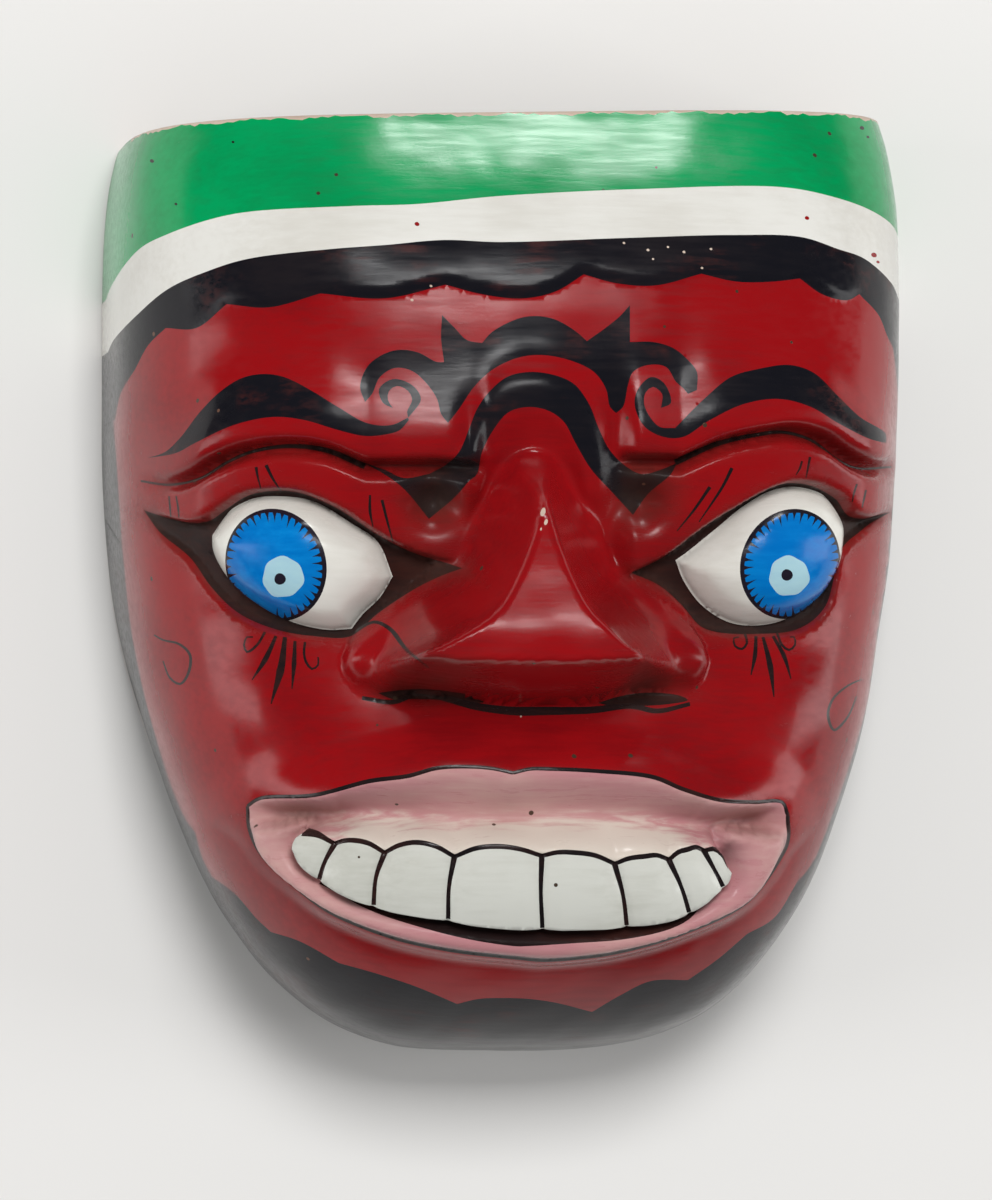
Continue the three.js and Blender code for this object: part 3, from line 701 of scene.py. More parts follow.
def arch_height(x, y):
    """A rolled arch over the bridge of the nose, with a pit beside each of its feet."""
    across = np.abs((x - ARCH_X) / ARCH_HALF) ** ARCH_POWER
    up = np.abs((y - ARCH_BASE_Y) / ARCH_RISE) ** ARCH_POWER
    radius = (across + up) ** (1 / ARCH_POWER)
    feet = smooth(ARCH_BASE_Y - 3, ARCH_BASE_Y + 6, y)
    roll = ARCH_ROLL * bump((radius - 1) * ARCH_HALF, ARCH_ROLL_WIDTH)
    return (roll + smooth(1, 0.8, radius)) * feet - PIT_DEPTH * mounds(x, y, PITS, PIT_SPREAD)


def teeth_height(x, y):
    """Rounded teeth with cuts between them, proud of the gum at their lower edge."""
    top, bottom = np.interp(x, *FEATURES["teeth_top"]), np.interp(x, *FEATURES["teeth_bottom"])
    down = clamp((top - y) / np.maximum(top - bottom, 1), 0, 1)
    near_cut = np.full(x.shape, 6.0)
    for cut in FEATURES["cuts"]:
        near_cut = np.minimum(near_cut, line_distance(cut, x.ravel(), y.ravel(), 6).reshape(x.shape))
    face = mix(GUM_STAND - TOOTH_ROOT_SINK, TEETH_STAND, np.sin(down * math.pi / 2))
    return face + TOOTH_ROUND * smooth(0, 5, near_cut) - TOOTH_CUT * bump(near_cut, CUT_WIDTH)


def mouth_height(x, y):
    """Lips as a raised rim that falls in to the gum above and to the gap round the teeth below."""
    lip_depth = depth_inside(FEATURES["lips"], x, y, 24)
    teeth_depth = depth_inside(FEATURES["teeth"], x, y, 24)
    fold, top = np.interp(x, *FEATURES["fold"]), np.interp(x, *FEATURES["teeth_top"])
    upper_lip = np.interp(x, *FEATURES["upper_lip"])
    past_ends = np.minimum(x - FEATURES["teeth_top"][0][0], FEATURES["teeth_top"][0][-1] - x)
    share = lip_depth / np.maximum(lip_depth + np.maximum(-teeth_depth, 0), 0.5)
    low = smooth(0, -8, y - fold)
    stand = lip_stand(x)
    rim = stand - LOWER_EASE * low * stand / LIP_STAND
    into_gap = clamp((share - LEDGE_SHARE) / (1 - LEDGE_SHARE), 0, 1) ** 3
    ledge = np.where(share < LEDGE_SHARE, mix(rim, LOWER_CREST, smooth(0, LEDGE_SHARE, share)),
                     mix(LOWER_CREST, -GAP_SINK, into_gap))
    slope = mix(stand, -FOLD_SINK, smooth(0, 1, (upper_lip - y) / np.maximum(upper_lip - fold, 1)))
    gum = mix(-FOLD_SINK, GUM_STAND, smooth(0, 1, (fold - y) / np.maximum(fold - top, 1)))
    gum = mix(-FOLD_SINK, gum, smooth(-3, 5, past_ends))
    upper = np.where(y > fold, slope, gum)
    corner = smooth(14, 3, lip_depth + 30 * smooth(4, 10, past_ends))
    upper = mix(upper, soft_max(upper, mix(stand, -FOLD_SINK, smooth(0, 7, lip_depth)), 2), corner)
    around = mix(upper, ledge, smooth(0.5, -1.5, y - np.where(past_ends > 0, top, fold - 1)))
    around = around - POCKET_DEPTH * mounds(x, y, POCKETS, POCKET_SPREAD)
    inner = mix(around, teeth_height(x, y), smooth(-TEETH_WALL, 0, teeth_depth))
    outside = rim * smooth(0, 1, 1 + lip_depth / mix(11, 4, low))
    return np.where(lip_depth > 0, mix(rim, inner, smooth(0, 0.8, lip_depth)), outside)


def carving(x, y):
    """Height of the carving over the plain shell."""
    height = muzzle(x, y) + CHEEK_BULGE * mounds(x, y, CHEEKS, CHEEK_SPREAD)
    for eye in FEATURES["eyes"]:
        height = height + np.where(x * eye["side"] > 8, brow_and_lids(eye, x, y), 0)
    height = height + arch_height(x, y)
    for eye in FEATURES["eyes"]:
        opening = smooth(-1.0, 1.0, eye_inside(eye, x, y)) * smooth(90, 80, np.abs(x))
        height = mix(height, eye_height(eye, x, y), opening)
    nose = nose_height(x, y)
    height = np.where(nose > 0, soft_max(height, nose, NOSE_BLEND), height)
    height = height - NOSTRIL_DEPTH * mounds(x, y, NOSTRILS, NOSTRIL_SPREAD)
    height = height + mouth_height(x, y)
    hair = depth_inside(FEATURES["hair"], x, y, 2 * HAIR_WALL)
    step = smooth(0, HAIR_WALL, hair) * smooth(105, 78, y) * smooth(80, 60, np.abs(x))
    return height + HAIR_STEP * step


def hand_unevenness(x, y, z):
    """The shallow waves that knife and brush leave all over a carved and painted surface."""
    waves = [(0.061, 0.043, 0.037, 0.4, 0.14), (0.121, -0.092, 0.071, 1.9, 0.05),
             (-0.187, 0.157, 0.12, 3.1, 0.022), (0.292, 0.233, -0.21, 5.2, 0.010)]
    return sum(height * np.sin(2 * (a * x + b * y + c * z) + start + 1.3 * np.sin(b * x - a * y))
               for a, b, c, start, height in waves)


def front_height(u, v, point):
    """Carving and unevenness together, both fading out towards the rim."""
    x, y, z = np.moveaxis(point, -1, 0)
    fade = smooth(1, 0.86, np.abs(u)) * smooth(-1, -0.9, v)
    edges = smooth(1, 0.97, np.abs(u)) * smooth(-1, -0.97, v) * smooth(1, 0.97, v)
    return carving(x, y) * fade + hand_unevenness(x, y, z) * edges


def front_point(u, v):
    """The carved front: the plain shell moved out along its own normal."""
    point = shell_point(u, v)
    return point + shell_normal(u, v) * front_height(u, v, point)[..., None]


def spread_to_sides(line):
    """A line carried on round both sides of the mask, down to the rim."""
    return np.vstack([[(-PLANE_HALF, line[0][1])], line, [(PLANE_HALF, line[-1][1])]])


def iris_radius(iris, spikes):
    """The blue of an iris inside its painted ring, with the ring's fine strokes pointing inwards."""
    def radius(angle):
        thick = 0.5 + 0.5 * math.cos(angle) * iris["thick_side"]
        turn = angle / (2 * math.pi) * spikes
        stroke = abs((turn % 1) - 0.5) * 2
        length = 0.13 + 0.05 * math.sin(int(turn) * 2.4) + 0.05 * thick
        return 0.97 - 0.06 * thick - length * max(0.0, 1 - 2.6 * stroke)
    return radius


def uneven_round(angle):
    return 1 + 0.03 * math.sin(3 * angle + 1) + 0.025 * math.sin(7 * angle)


def beside(line, distance):
    """A copy of a closed line on the plane, moved outwards by a distance."""
    ahead = unit(np.roll(line, -1, axis=0) - np.roll(line, 1, axis=0))
    side = np.stack([-ahead[:, 1], ahead[:, 0]], axis=1)
    area = np.sum(line[:, 0] * np.roll(line[:, 1], -1) - line[:, 1] * np.roll(line[:, 0], -1))
    return line - side * np.sign(area) * distance


def step_guides():
    """Lines beside the sharp steps of the relief, which keep its edges clean."""
    teeth = PHOTO.plane_place(closed_outline(TEETH), teeth_lift)
    guides = [beside(teeth, TEETH_WALL), beside(teeth, TEETH_WALL / 2)]
    for outlines, lift, distances in ((EYE_SURROUNDS, LID_LIFT, (1.0, -1.0)),
                                      (EYEBALLS, BALL_LIFT, (-0.4, -1.1))):
        for runs in outlines:
            outline = PHOTO.plane_place(closed_outline(runs), lift)
            guides += [beside(outline, distance) for distance in distances]
    return guides


def worn_top_edge():
    """A thin strip along the flat-cut top where the paint has rubbed and chipped away."""
    x = np.arange(-118, 118.1, 1.5)
    wave = 0.5 + 0.28 * np.sin(x * 0.31) + 0.22 * np.sin(x * 1.9)
    wave += 0.3 * np.sin(x * 0.83 + 1) * np.sin(x * 0.13)
    lower = np.stack([x, PLANE_UP - 0.12 - np.maximum(wave, 0.02)], axis=1)
    return lower, np.array([(118.1, PLANE_UP + 3), (-118.1, PLANE_UP + 3)])


def painted_areas():
    """The painted areas in the order of painting: material, outline on the plane, and whether it closes."""
    areas = []

    def add(material, pixels, lift=None):
        areas.append((material, PHOTO.plane_place(pixels, lift), True))

    def add_band(material, pixels, towards_top, lift=None):
        line = spread_to_sides(PHOTO.plane_place(pixels, lift))
        far = PLANE_UP + 5 if towards_top else -PLANE_DOWN - 5
        corners = np.array([(PLANE_HALF + 5, line[-1][1]), (PLANE_HALF + 5, far), (-PLANE_HALF - 5, far),
                            (-PLANE_HALF - 5, line[0][1])])
        areas.append((material, (line, corners), False))

    add_band("black_enamel", open_line(HAIR_LINE), True, HAIR_LIFT)
    add_band("white_enamel", smooth_run(WHITE_LINE), True)
    add_band("green_enamel", smooth_run(GREEN_LINE), True)
    add_band("black_enamel", open_line(BEARD_LINE), False)
    for run, side in zip(SIDEBURNS, (-PLANE_HALF - 5, PLANE_HALF + 5)):
        line = PHOTO.plane_place(smooth_run(run))
        corners = np.array([(side, line[-1][1] - SIDEBURN_OVERLAP), (side, line[0][1] + SIDEBURN_OVERLAP)])
        areas.append(("black_enamel", (line, corners), False))
    for x, y, size, material in SPECKS:
        add(material, ellipse_outline((x, y), (size, size * 0.8), 0.5, 9, uneven_round))
    areas.append(("bare_edge", worn_top_edge(), False))
    for runs in BROWS + [ORNAMENT, ARCH]:
        add("black_enamel", closed_outline(runs))
    for runs in EYE_SURROUNDS:
        add("dark_paint_and_painted_shadow", closed_outline(runs), LID_LIFT)
    for runs in EYEBALLS:
        add("eye_white", closed_outline(runs), BALL_LIFT)
    for iris in IRISES:
        add("iris_line", ellipse_outline(iris["middle"], iris["half"], iris["tilt"], 90))
        add("iris_blue", ellipse_outline(iris["middle"], iris["half"], iris["tilt"], IRIS_SPIKES * 8,
                                         iris_radius(iris, IRIS_SPIKES)))
        for part, material in (("patch", "pale_blue"), ("dot", "iris_line")):
            x, y, radius = iris[part]
            count = max(int(radius * 2), 14)
            add(material, ellipse_outline((x, y), (radius, radius), 0, count, uneven_round))
    add("lip_pink", closed_outline(LIPS), lip_lift)
    # Painted shadow below the lower edge of the teeth
    add("dark_paint_and_painted_shadow", stroke_outline(MOUTH_GAP_SHADOW, MOUTH_GAP_SHADOW_WIDTHS), teeth_lift)
    add("tooth_white", closed_outline(TEETH), teeth_lift)
    for run in LIPS:
        add("line_black", stroke_outline(run, LIP_LINE_WIDTHS), lip_lift)
    for run in TEETH[1:-1]:
        add("line_black", stroke_outline(run, GUM_LINE_WIDTHS), teeth_lift)
    for run in TOOTH_LINES:
        add("line_black", stroke_outline(run, TOOTH_LINE_WIDTHS), teeth_lift)
    # Painted shadow under the wings of the nose
    for run in NOSTRIL_SHADES:
        add("dark_paint_and_painted_shadow", closed_outline([run]))
    # Small pale spots on the nose, in the colour of the bare ground
    for x, y, size in PALE_SPOTS:
        add("bare_edge", ellipse_outline((x, y), (size * 0.55, size), 0.25, 9, uneven_round))
    for k, (points, widths) in enumerate(STROKES):
        add("line_black", stroke_outline(points, widths), LID_LIFT if k < 2 else None)
    return areas


def hex_points(step, low, high):
    """Evenly spread points in staggered rows."""
    rows = np.arange(low[1] + step / 2, high[1] - step / 4, step * math.sqrt(3) / 2)
    points = []
    for i, y in enumerate(rows):
        x = np.arange(low[0] + step * (0.5 if i % 2 else 1.0), high[0] - step / 4, step)
        points.append(np.stack([x, np.full(len(x), y)], axis=1))
    return np.vstack(points)


def plane_points(outlines):
    """Points over the whole plane, closer together on the face, and none right beside an outline."""
    fine = hex_points(FINE_STEP, FINE_LOW, FINE_HIGH)
    coarse = hex_points(COARSE_STEP, (-PLANE_HALF, -PLANE_DOWN), (PLANE_HALF, PLANE_UP))
    in_fine = np.all((coarse > np.array(FINE_LOW) - 0.5) & (coarse < np.array(FINE_HIGH) + 0.5), axis=1)
    points = np.vstack([fine, coarse[~in_fine]])
    cell = 0.5
    taken = {tuple(place) for outline in outlines for place in np.round(outline / cell).astype(int)}
    keep = [tuple(place) not in taken for place in np.round(points / cell).astype(int)]
    return points[keep]


def border_points():
    """Points round the plane's four sides."""
    across = np.linspace(-PLANE_HALF, PLANE_HALF, 151)
    along = np.concatenate([np.linspace(-PLANE_DOWN, 0, 101)[:-1], np.linspace(0, PLANE_UP, 41)])
    rows = [np.stack([across, np.full(len(across), y)], axis=1) for y in (-PLANE_DOWN, PLANE_UP)]
    between = along[1:-1]
    columns = [np.stack([np.full(len(between), x), between], axis=1) for x in (-PLANE_HALF, PLANE_HALF)]
    return np.vstack(rows + columns)


def cut_front(areas):
    """Triangles of the plane with every painted outline among their edges."""
    lines = [(outline if closed else outline[0], closed) for _, outline, closed in areas]
    lines += [(guide, True) for guide in step_guides()]
    edges = []
    start = 0
    for line, closed in lines:
        count = len(line)
        edges += [(start + i, start + (i + 1) % count) for i in range(count if closed else count - 1)]
        start += count
    outlines = [line for line, _ in lines]
    vectors = [Vector(place) for place in np.vstack(outlines + [border_points(), plane_points(outlines)])]
    verts, _, faces, *_ = delaunay_2d_cdt(vectors, edges, [], 0, 1e-4)
    plane = np.array([tuple(vert) for vert in verts])
    faces = np.array([face for face in faces if len(face) == 3])
    a, b, c = (plane[faces[:, k]] for k in range(3))
    area = (b[:, 0] - a[:, 0]) * (c[:, 1] - a[:, 1]) - (b[:, 1] - a[:, 1]) * (c[:, 0] - a[:, 0])
    faces[area < 0] = faces[area < 0][:, ::-1]
    return plane, faces


# Paints that cover only one other paint
ONLY_OVER = {"eye_white": "dark_paint_and_painted_shadow", "iris_line": "eye_white", "iris_blue": "eye_white",
             "pale_blue": "eye_white"}


def paint_faces(areas, plane, faces, names):
    """The paint of each triangle, as its place in the list of the materials' names."""
    middles = plane[faces].mean(axis=1)
    paint = np.full(len(faces), names.index("red_enamel"))
    allowed = {}
    for material, outline, closed in areas:
        covered = inside_outline(outline if closed else np.vstack(outline), middles)
        if material in ONLY_OVER:
            below = ONLY_OVER[material]
            covered &= allowed.setdefault(below, paint == names.index(below))
        paint[covered] = names.index(material)
    return paint


def inside_grid():
    """The plain hollow behind the face, as rows of points from the chin to the top."""
    u = np.linspace(-1, 1, INSIDE_COLUMNS + 1)
    v = np.concatenate([np.linspace(-1, 0, INSIDE_ROWS_DOWN + 1)[:-1],
                        np.linspace(0, 1, INSIDE_ROWS_UP + 1)])
    uu, vv = np.meshgrid(u, v)
    points = shell_point(uu, vv, WALL)
    fade = smooth(1, 0.9, np.abs(uu)) * smooth(-1, -0.9, vv) * smooth(1, 0.9, vv)
    x, y, z = np.moveaxis(points, -1, 0)
    gouges = 0.35 * np.sin(x * 0.55 + 0.8 * np.sin(y * 0.11)) + 0.25 * np.sin(y * 0.31 + x * 0.07)
    toward_middle = unit(np.stack([-x, -(y - WIDEST_Y) * 0.5, -z], axis=-1))
    return points + toward_middle * (np.abs(gouges) * fade)[..., None]


def grid_faces(rows, columns, start):
    """Triangles of a grid of points, facing the hollow."""
    i, j = np.meshgrid(np.arange(columns - 1), np.arange(rows - 1))
    a = (start + j * columns + i).ravel()
    b, c, d = a + 1, a + columns + 1, a + columns
    return np.vstack([np.stack([a, c, b], axis=1), np.stack([a, d, c], axis=1)])


def strip_faces(points, outer, inner, outward):
    """A flat face between an outer edge and an inner edge, which run side by side."""
    def shares(line):
        lengths = np.linalg.norm(np.diff(points[line], axis=0), axis=1)
        return np.concatenate([[0], np.cumsum(lengths)]) / lengths.sum()
    outer_shares, inner_shares = shares(outer), shares(inner)
    i = j = 0
    faces = []
    while i < len(outer) - 1 or j < len(inner) - 1:
        inner_done, outer_left = j == len(inner) - 1, i < len(outer) - 1
        next_outer = inner_done or (outer_left and outer_shares[i + 1] <= inner_shares[j + 1])
        a, b = outer[i], inner[j]
        if next_outer:
            i += 1
        else:
            j += 1
        c = outer[i] if next_outer else inner[j]
        normal = np.cross(points[b] - points[a], points[c] - points[a])
        faces.append((a, b, c) if normal @ outward > 0 else (a, c, b))
    return np.array(faces)


def side_vertices(plane, axis, place, along):
    """The vertices on one side of the plane, in order."""
    on_side = np.flatnonzero(np.abs(plane[:, axis] - place) < 1e-3)
    return on_side[np.argsort(plane[on_side, along])]


def add_attribute(mesh, name, values):
    attribute = mesh.attributes.new(name, "FLOAT", "POINT")
    attribute.data.foreach_set("value", np.asarray(values, np.float32))


def mask_surface(plane, front):
    """All the mask's points and triangles: the front, the hollow, the rim and the flat-cut top."""
    u, v = plane_to_shell(plane)
    front_points = front_point(clamp(u, -1, 1), clamp(v, -1, 1))
    inside = inside_grid()
    rows, columns = inside.shape[:2]
    start = len(front_points)
    points = np.vstack([front_points, inside.reshape(-1, 3)])
    back = grid_faces(rows, columns, start)
    grid = np.arange(start, len(points)).reshape(rows, columns)
    left, right = side_vertices(plane, 0, -PLANE_HALF, 1)[::-1], side_vertices(plane, 0, PLANE_HALF, 1)
    chin, top = side_vertices(plane, 1, -PLANE_DOWN, 0), side_vertices(plane, 1, PLANE_UP, 0)
    rim = np.concatenate([left, chin[1:], right[1:]])
    inner_rim = np.concatenate([grid[::-1, 0], grid[0, 1:], grid[1:, -1]])
    rim_faces = strip_faces(points, rim, inner_rim, np.array([0, 0, -1.0]))
    top_faces = strip_faces(points, top, grid[-1], np.array([0, 1.0, 0]))
    return points, np.vstack([front, back, rim_faces, top_faces]), len(front) + len(back)


def crevice_share(x, y):
    """How much a place lies in a crevice, where the paint is darkened by dust and by painted shade."""
    share = 0.3 * bump(height_over(FEATURES["fold"], x, y), 2.2) * smooth(64, 50, np.abs(x - MOUTH_X))
    for eye in FEATURES["eyes"]:
        above_crease = height_over(eye["crease"], x, y)
        sides = smooth(92, 84, np.abs(x)) * smooth(14, 20, eye["side"] * x)
        share += 0.8 * bump(eye_inside(eye, x, y) - 1, 3) + 0.6 * bump(above_crease, 2.5) * sides
    for places, spread in ((PITS, (7, 7)), (NOSTRILS, (10, 4)), (POCKETS, (8, 3.5))):
        share += mounds(x, y, places, spread)
    return clamp(share, 0, 1)


def gum_share(x, y):
    """How much a place lies on the gum, between the fold of the upper lip and the teeth."""
    teeth_x = FEATURES["teeth_top"][0]
    ends = smooth(-2, 14, np.minimum(x - teeth_x[0], teeth_x[-1] - x))
    below_fold = smooth(-3, 5, -height_over(FEATURES["fold"], x, y))
    return below_fold * ends * smooth(-5, -1, height_over(FEATURES["teeth_top"], x, y))


def make_mask(materials):
    """One closed mesh, painted triangle by triangle."""
    areas = painted_areas()
    plane, front = cut_front(areas)
    points, faces, curved_count = mask_surface(plane, front)
    mesh = bpy.data.meshes.new("mask_carving")
    mesh.from_pydata((points * MM).tolist(), [], faces.tolist())
    for material in materials:
        mesh.materials.append(material)
    names = [material.name for material in materials]
    slots = np.full(len(faces), names.index("carved_wood"), np.int32)
    slots[:len(front)] = paint_faces(areas, plane, front, names)
    mesh.polygons.foreach_set("material_index", slots)
    mesh.polygons.foreach_set("use_smooth", np.arange(len(faces)) < curved_count)

    u, v = plane_to_shell(plane)
    x, y, _ = shell_point(clamp(u, -1, 1), clamp(v, -1, 1)).T
    unmarked = np.zeros(len(points) - len(plane))
    # Crevice shares: where the paint is darkened by dust and by painted shade
    add_attribute(mesh, "crevice", np.concatenate([crevice_share(x, y), unmarked]))
    add_attribute(mesh, "gum", np.concatenate([gum_share(x, y), unmarked]))
    mesh.validate()
    mask = bpy.data.objects.new("mask_carving", mesh)
    bpy.context.scene.collection.objects.link(mask)
    return mask


def set_inputs(tree, node, values):
    """Links or sets a node's inputs, which are given by name or by number."""
    for name, value in values.items():
        if isinstance(value, bpy.types.NodeSocket):
            tree.links.new(value, node.inputs[name])
        else:
            node.inputs[name].default_value = value


def add_node(tree, kind, inputs, **settings):
    node = tree.nodes.new(kind)
    for name, value in settings.items():
        setattr(node, name, value)
    set_inputs(tree, node, inputs)
    return node


def new_group(name, inputs, outputs):
    """A node group with named inputs, given with their kinds and values, and named outputs."""
    group = bpy.data.node_groups.new(name, "ShaderNodeTree")
    for label, kind, value in inputs:
        socket = group.interface.new_socket(label, in_out="INPUT", socket_type="NodeSocket" + kind)
        socket.default_value = value
    for label, kind in outputs:
        group.interface.new_socket(label, in_out="OUTPUT", socket_type="NodeSocket" + kind)
    return group, group.nodes.new("NodeGroupInput").outputs, group.nodes.new("NodeGroupOutput")


def use_group(tree, group, inputs):
    return add_node(tree, "ShaderNodeGroup", inputs, node_tree=group).outputs


def coordinates(tree, stretch=(1, 1, 1)):
    place = add_node(tree, "ShaderNodeTexCoord", {}).outputs["Object"]
    return add_node(tree, "ShaderNodeMapping", {"Vector": place, "Scale": stretch}).outputs["Vector"]


def noise(tree, scale, detail, roughness=0.5, stretch=(1, 1, 1)):
    inputs = {"Vector": coordinates(tree, stretch), "Scale": scale, "Detail": detail, "Roughness": roughness}
    return add_node(tree, "ShaderNodeTexNoise", inputs).outputs["Fac"]


def ramp(tree, factor, start, end, low=0.0, high=1.0):
    """A smooth rise from low to high between two values of a factor."""
    inputs = {"Value": factor, "From Min": start, "From Max": end, "To Min": low, "To Max": high}
    return add_node(tree, "ShaderNodeMapRange", inputs, interpolation_type="SMOOTHSTEP").outputs["Result"]


def calculate(tree, operation, first, second):
    return add_node(tree, "ShaderNodeMath", {0: first, 1: second}, operation=operation).outputs[0]


def blend_colours(tree, factor, first, second):
    return add_node(tree, "ShaderNodeMix", {0: factor, 6: first, 7: second}, data_type="RGBA").outputs[2]


BRUSH_STRETCH = (0.12, 1, 1)


def mesh_value(tree, name):
    return add_node(tree, "ShaderNodeAttribute", {}, attribute_name=name).outputs["Fac"]


def brushwork_group():
    """Enamel laid on by brush: broad changes of thickness, streaks along the brush, and fine relief."""
    inputs = [("Thick", "Color", (0.5, 0.5, 0.5, 1)), ("Thin", "Color", (0.3, 0.3, 0.3, 1)),
              ("Thinness", "Float", 0.5)]
    outputs = [("Color", "Color"), ("Streaks", "Float"), ("Height", "Float")]
    group, given, result = new_group("brushwork", inputs, outputs)
    broad = noise(group, 26, 4)
    streaks = noise(group, 620, 4, 0.6, stretch=BRUSH_STRETCH)
    fine = noise(group, 900, 2)
    mottle = calculate(group, "ADD", calculate(group, "MULTIPLY", broad, 0.75),
                       calculate(group, "MULTIPLY", streaks, 0.35))
    share = calculate(group, "MULTIPLY", ramp(group, mottle, 0.42, 0.74), given["Thinness"])
    height = calculate(group, "ADD", calculate(group, "MULTIPLY", streaks, 0.6),
                       calculate(group, "MULTIPLY", fine, 0.25))
    colour = blend_colours(group, share, given["Thick"], given["Thin"])
    set_inputs(group, result, {"Color": colour, "Streaks": streaks, "Height": height})
    return group


def pinholes_group():
    """Small pits and specks scattered over the paint, with few of them in most places."""
    inputs = [("Size", "Float", 0.12), ("Amount", "Float", 0.3)]
    group, given, result = new_group("pinholes", inputs, [("Mask", "Float")])
    cells = add_node(group, "ShaderNodeTexVoronoi", {"Vector": coordinates(group), "Scale": 230})
    chosen = add_node(group, "ShaderNodeSeparateColor", {"Color": cells.outputs["Color"]}).outputs[0]
    near = calculate(group, "LESS_THAN", cells.outputs["Distance"], given["Size"])
    few = calculate(group, "LESS_THAN", chosen, given["Amount"])
    set_inputs(group, result, {"Mask": calculate(group, "MULTIPLY", near, few)})
    return group


def grime_and_shade_group():
    """Dust and old varnish in the crevices and, thinly, in patches elsewhere; in the crevices the darkening
    is partly painted shade.
    """
    inputs = [("Color", "Color", (0.5, 0.5, 0.5, 1)), ("Dust_and_shade", "Color", (0.2, 0.15, 0.1, 1)),
              ("Amount", "Float", 0.6)]
    group, given, result = new_group("grime_and_shade", inputs, [("Color", "Color"), ("Mask", "Float")])
    patches = noise(group, 75, 5, 0.65)
    crevice = mesh_value(group, "crevice")
    deep = calculate(group, "MULTIPLY", crevice, ramp(group, patches, 0.3, 0.7, 0.35, 1.0))
    film = ramp(group, patches, 0.58, 0.85, 0.0, 0.12)
    mask = calculate(group, "MULTIPLY", calculate(group, "ADD", deep, film), given["Amount"])
    colour = blend_colours(group, mask, given["Color"], given["Dust_and_shade"])
    set_inputs(group, result, {"Color": colour, "Mask": mask})
    return group


def new_material(name):
    material = bpy.data.materials.new(name)
    material.use_nodes = True
    tree = material.node_tree
    shader = next(node for node in tree.nodes if node.type == "BSDF_PRINCIPLED")
    return material, tree, shader


def bump_normal(tree, shader, height, strength, distance):
    inputs = {"Height": height, "Strength": strength, "Distance": distance}
    normal = add_node(tree, "ShaderNodeBump", inputs).outputs["Normal"]
    set_inputs(tree, shader, {"Normal": normal})


# Enamel: how far it thins, the size and depth of its pinholes, its coat's roughness and its relief in metres
THINNESS, PINHOLE_SIZE, PINHOLE_DEPTH, COAT_ROUGHNESS, BRUSH_RELIEF = 0.8, 0.13, 1.5, 0.12, 0.00012


def enamel(name, groups, thick, thin, specks=(0.05, 0.03, 0.02), speck_amount=0.05,
           dust_and_shade=(0.055, 0.028, 0.02), dust_and_shade_amount=0.6, roughness=0.2, coat=0.12, gloss=0.4, extra=None):
    """A glossy enamel: brushed colour, pinholes, grime with painted shade in the crevices, and the same
    marks in its gloss and relief.
    """
    material, tree, shader = new_material(name)
    paint = {"Thick": (*thick, 1), "Thin": (*thin, 1), "Thinness": THINNESS}
    brush = use_group(tree, groups["brushwork"], paint)
    colour = extra(tree, brush["Color"], brush["Streaks"]) if extra else brush["Color"]
    holes = use_group(tree, groups["pinholes"], {"Size": PINHOLE_SIZE, "Amount": speck_amount})["Mask"]
    colour = blend_colours(tree, holes, colour, (*specks, 1))
    grime_and_shade = use_group(tree, groups["grime_and_shade"], {"Color": colour, "Dust_and_shade": (*dust_and_shade, 1), "Amount": dust_and_shade_amount})
    brushed = ramp(tree, brush["Streaks"], 0.3, 0.7, roughness - 0.04, roughness + 0.07)
    rough = calculate(tree, "ADD", brushed, calculate(tree, "MULTIPLY", grime_and_shade["Mask"], 0.45))
    height = calculate(tree, "SUBTRACT", brush["Height"], calculate(tree, "MULTIPLY", holes, PINHOLE_DEPTH))
    set_inputs(tree, shader, {"Base Color": grime_and_shade["Color"], "Roughness": rough, "Specular IOR Level": gloss,
                              "Coat Weight": coat, "Coat Roughness": COAT_ROUGHNESS})
    bump_normal(tree, shader, height, 0.35, BRUSH_RELIEF)
    return material


def worn_black(tree, colour, streaks):
    """Black that has thinned to a red brown along its brush streaks."""
    patches = noise(tree, 60, 4, 0.6)
    share = calculate(tree, "MULTIPLY", ramp(tree, patches, 0.5, 0.72), ramp(tree, streaks, 0.42, 0.62))
    return blend_colours(tree, calculate(tree, "MULTIPLY", share, 0.45), colour, (0.09, 0.018, 0.014, 1))


def creamy_gum(tree, colour, streaks):
    """Pink that fades to cream on the gum, unevenly as wiped by the brush."""
    share = calculate(tree, "ADD", mesh_value(tree, "gum"), ramp(tree, streaks, 0.3, 0.7, -0.22, 0.22))
    return blend_colours(tree, ramp(tree, share, 0.15, 0.85), colour, (0.60, 0.53, 0.46, 1))


def red_enamel(groups):
    return enamel("red_enamel", groups, (0.26, 0.004, 0.006), (0.155, 0.003, 0.005))


def green_enamel(groups):
    return enamel("green_enamel", groups, (0.0, 0.30, 0.09), (0.0, 0.20, 0.055), speck_amount=0.10)


def white_enamel(groups):
    return enamel("white_enamel", groups, (0.68, 0.67, 0.63), (0.56, 0.54, 0.49), specks=(0.35, 0.05, 0.03),
                  speck_amount=0.02, dust_and_shade=(0.3, 0.24, 0.17))


def black_enamel(groups):
    return enamel("black_enamel", groups, (0.007, 0.007, 0.010), (0.014, 0.011, 0.013),
                  specks=(0.12, 0.06, 0.04), gloss=0.25, coat=0.05, extra=worn_black)


def line_black(groups):
    return enamel("line_black", groups, (0.010, 0.008, 0.009), (0.035, 0.012, 0.010))


def iris_line(groups):
    return enamel("iris_line", groups, (0.010, 0.009, 0.014), (0.020, 0.014, 0.030), dust_and_shade_amount=0.1)


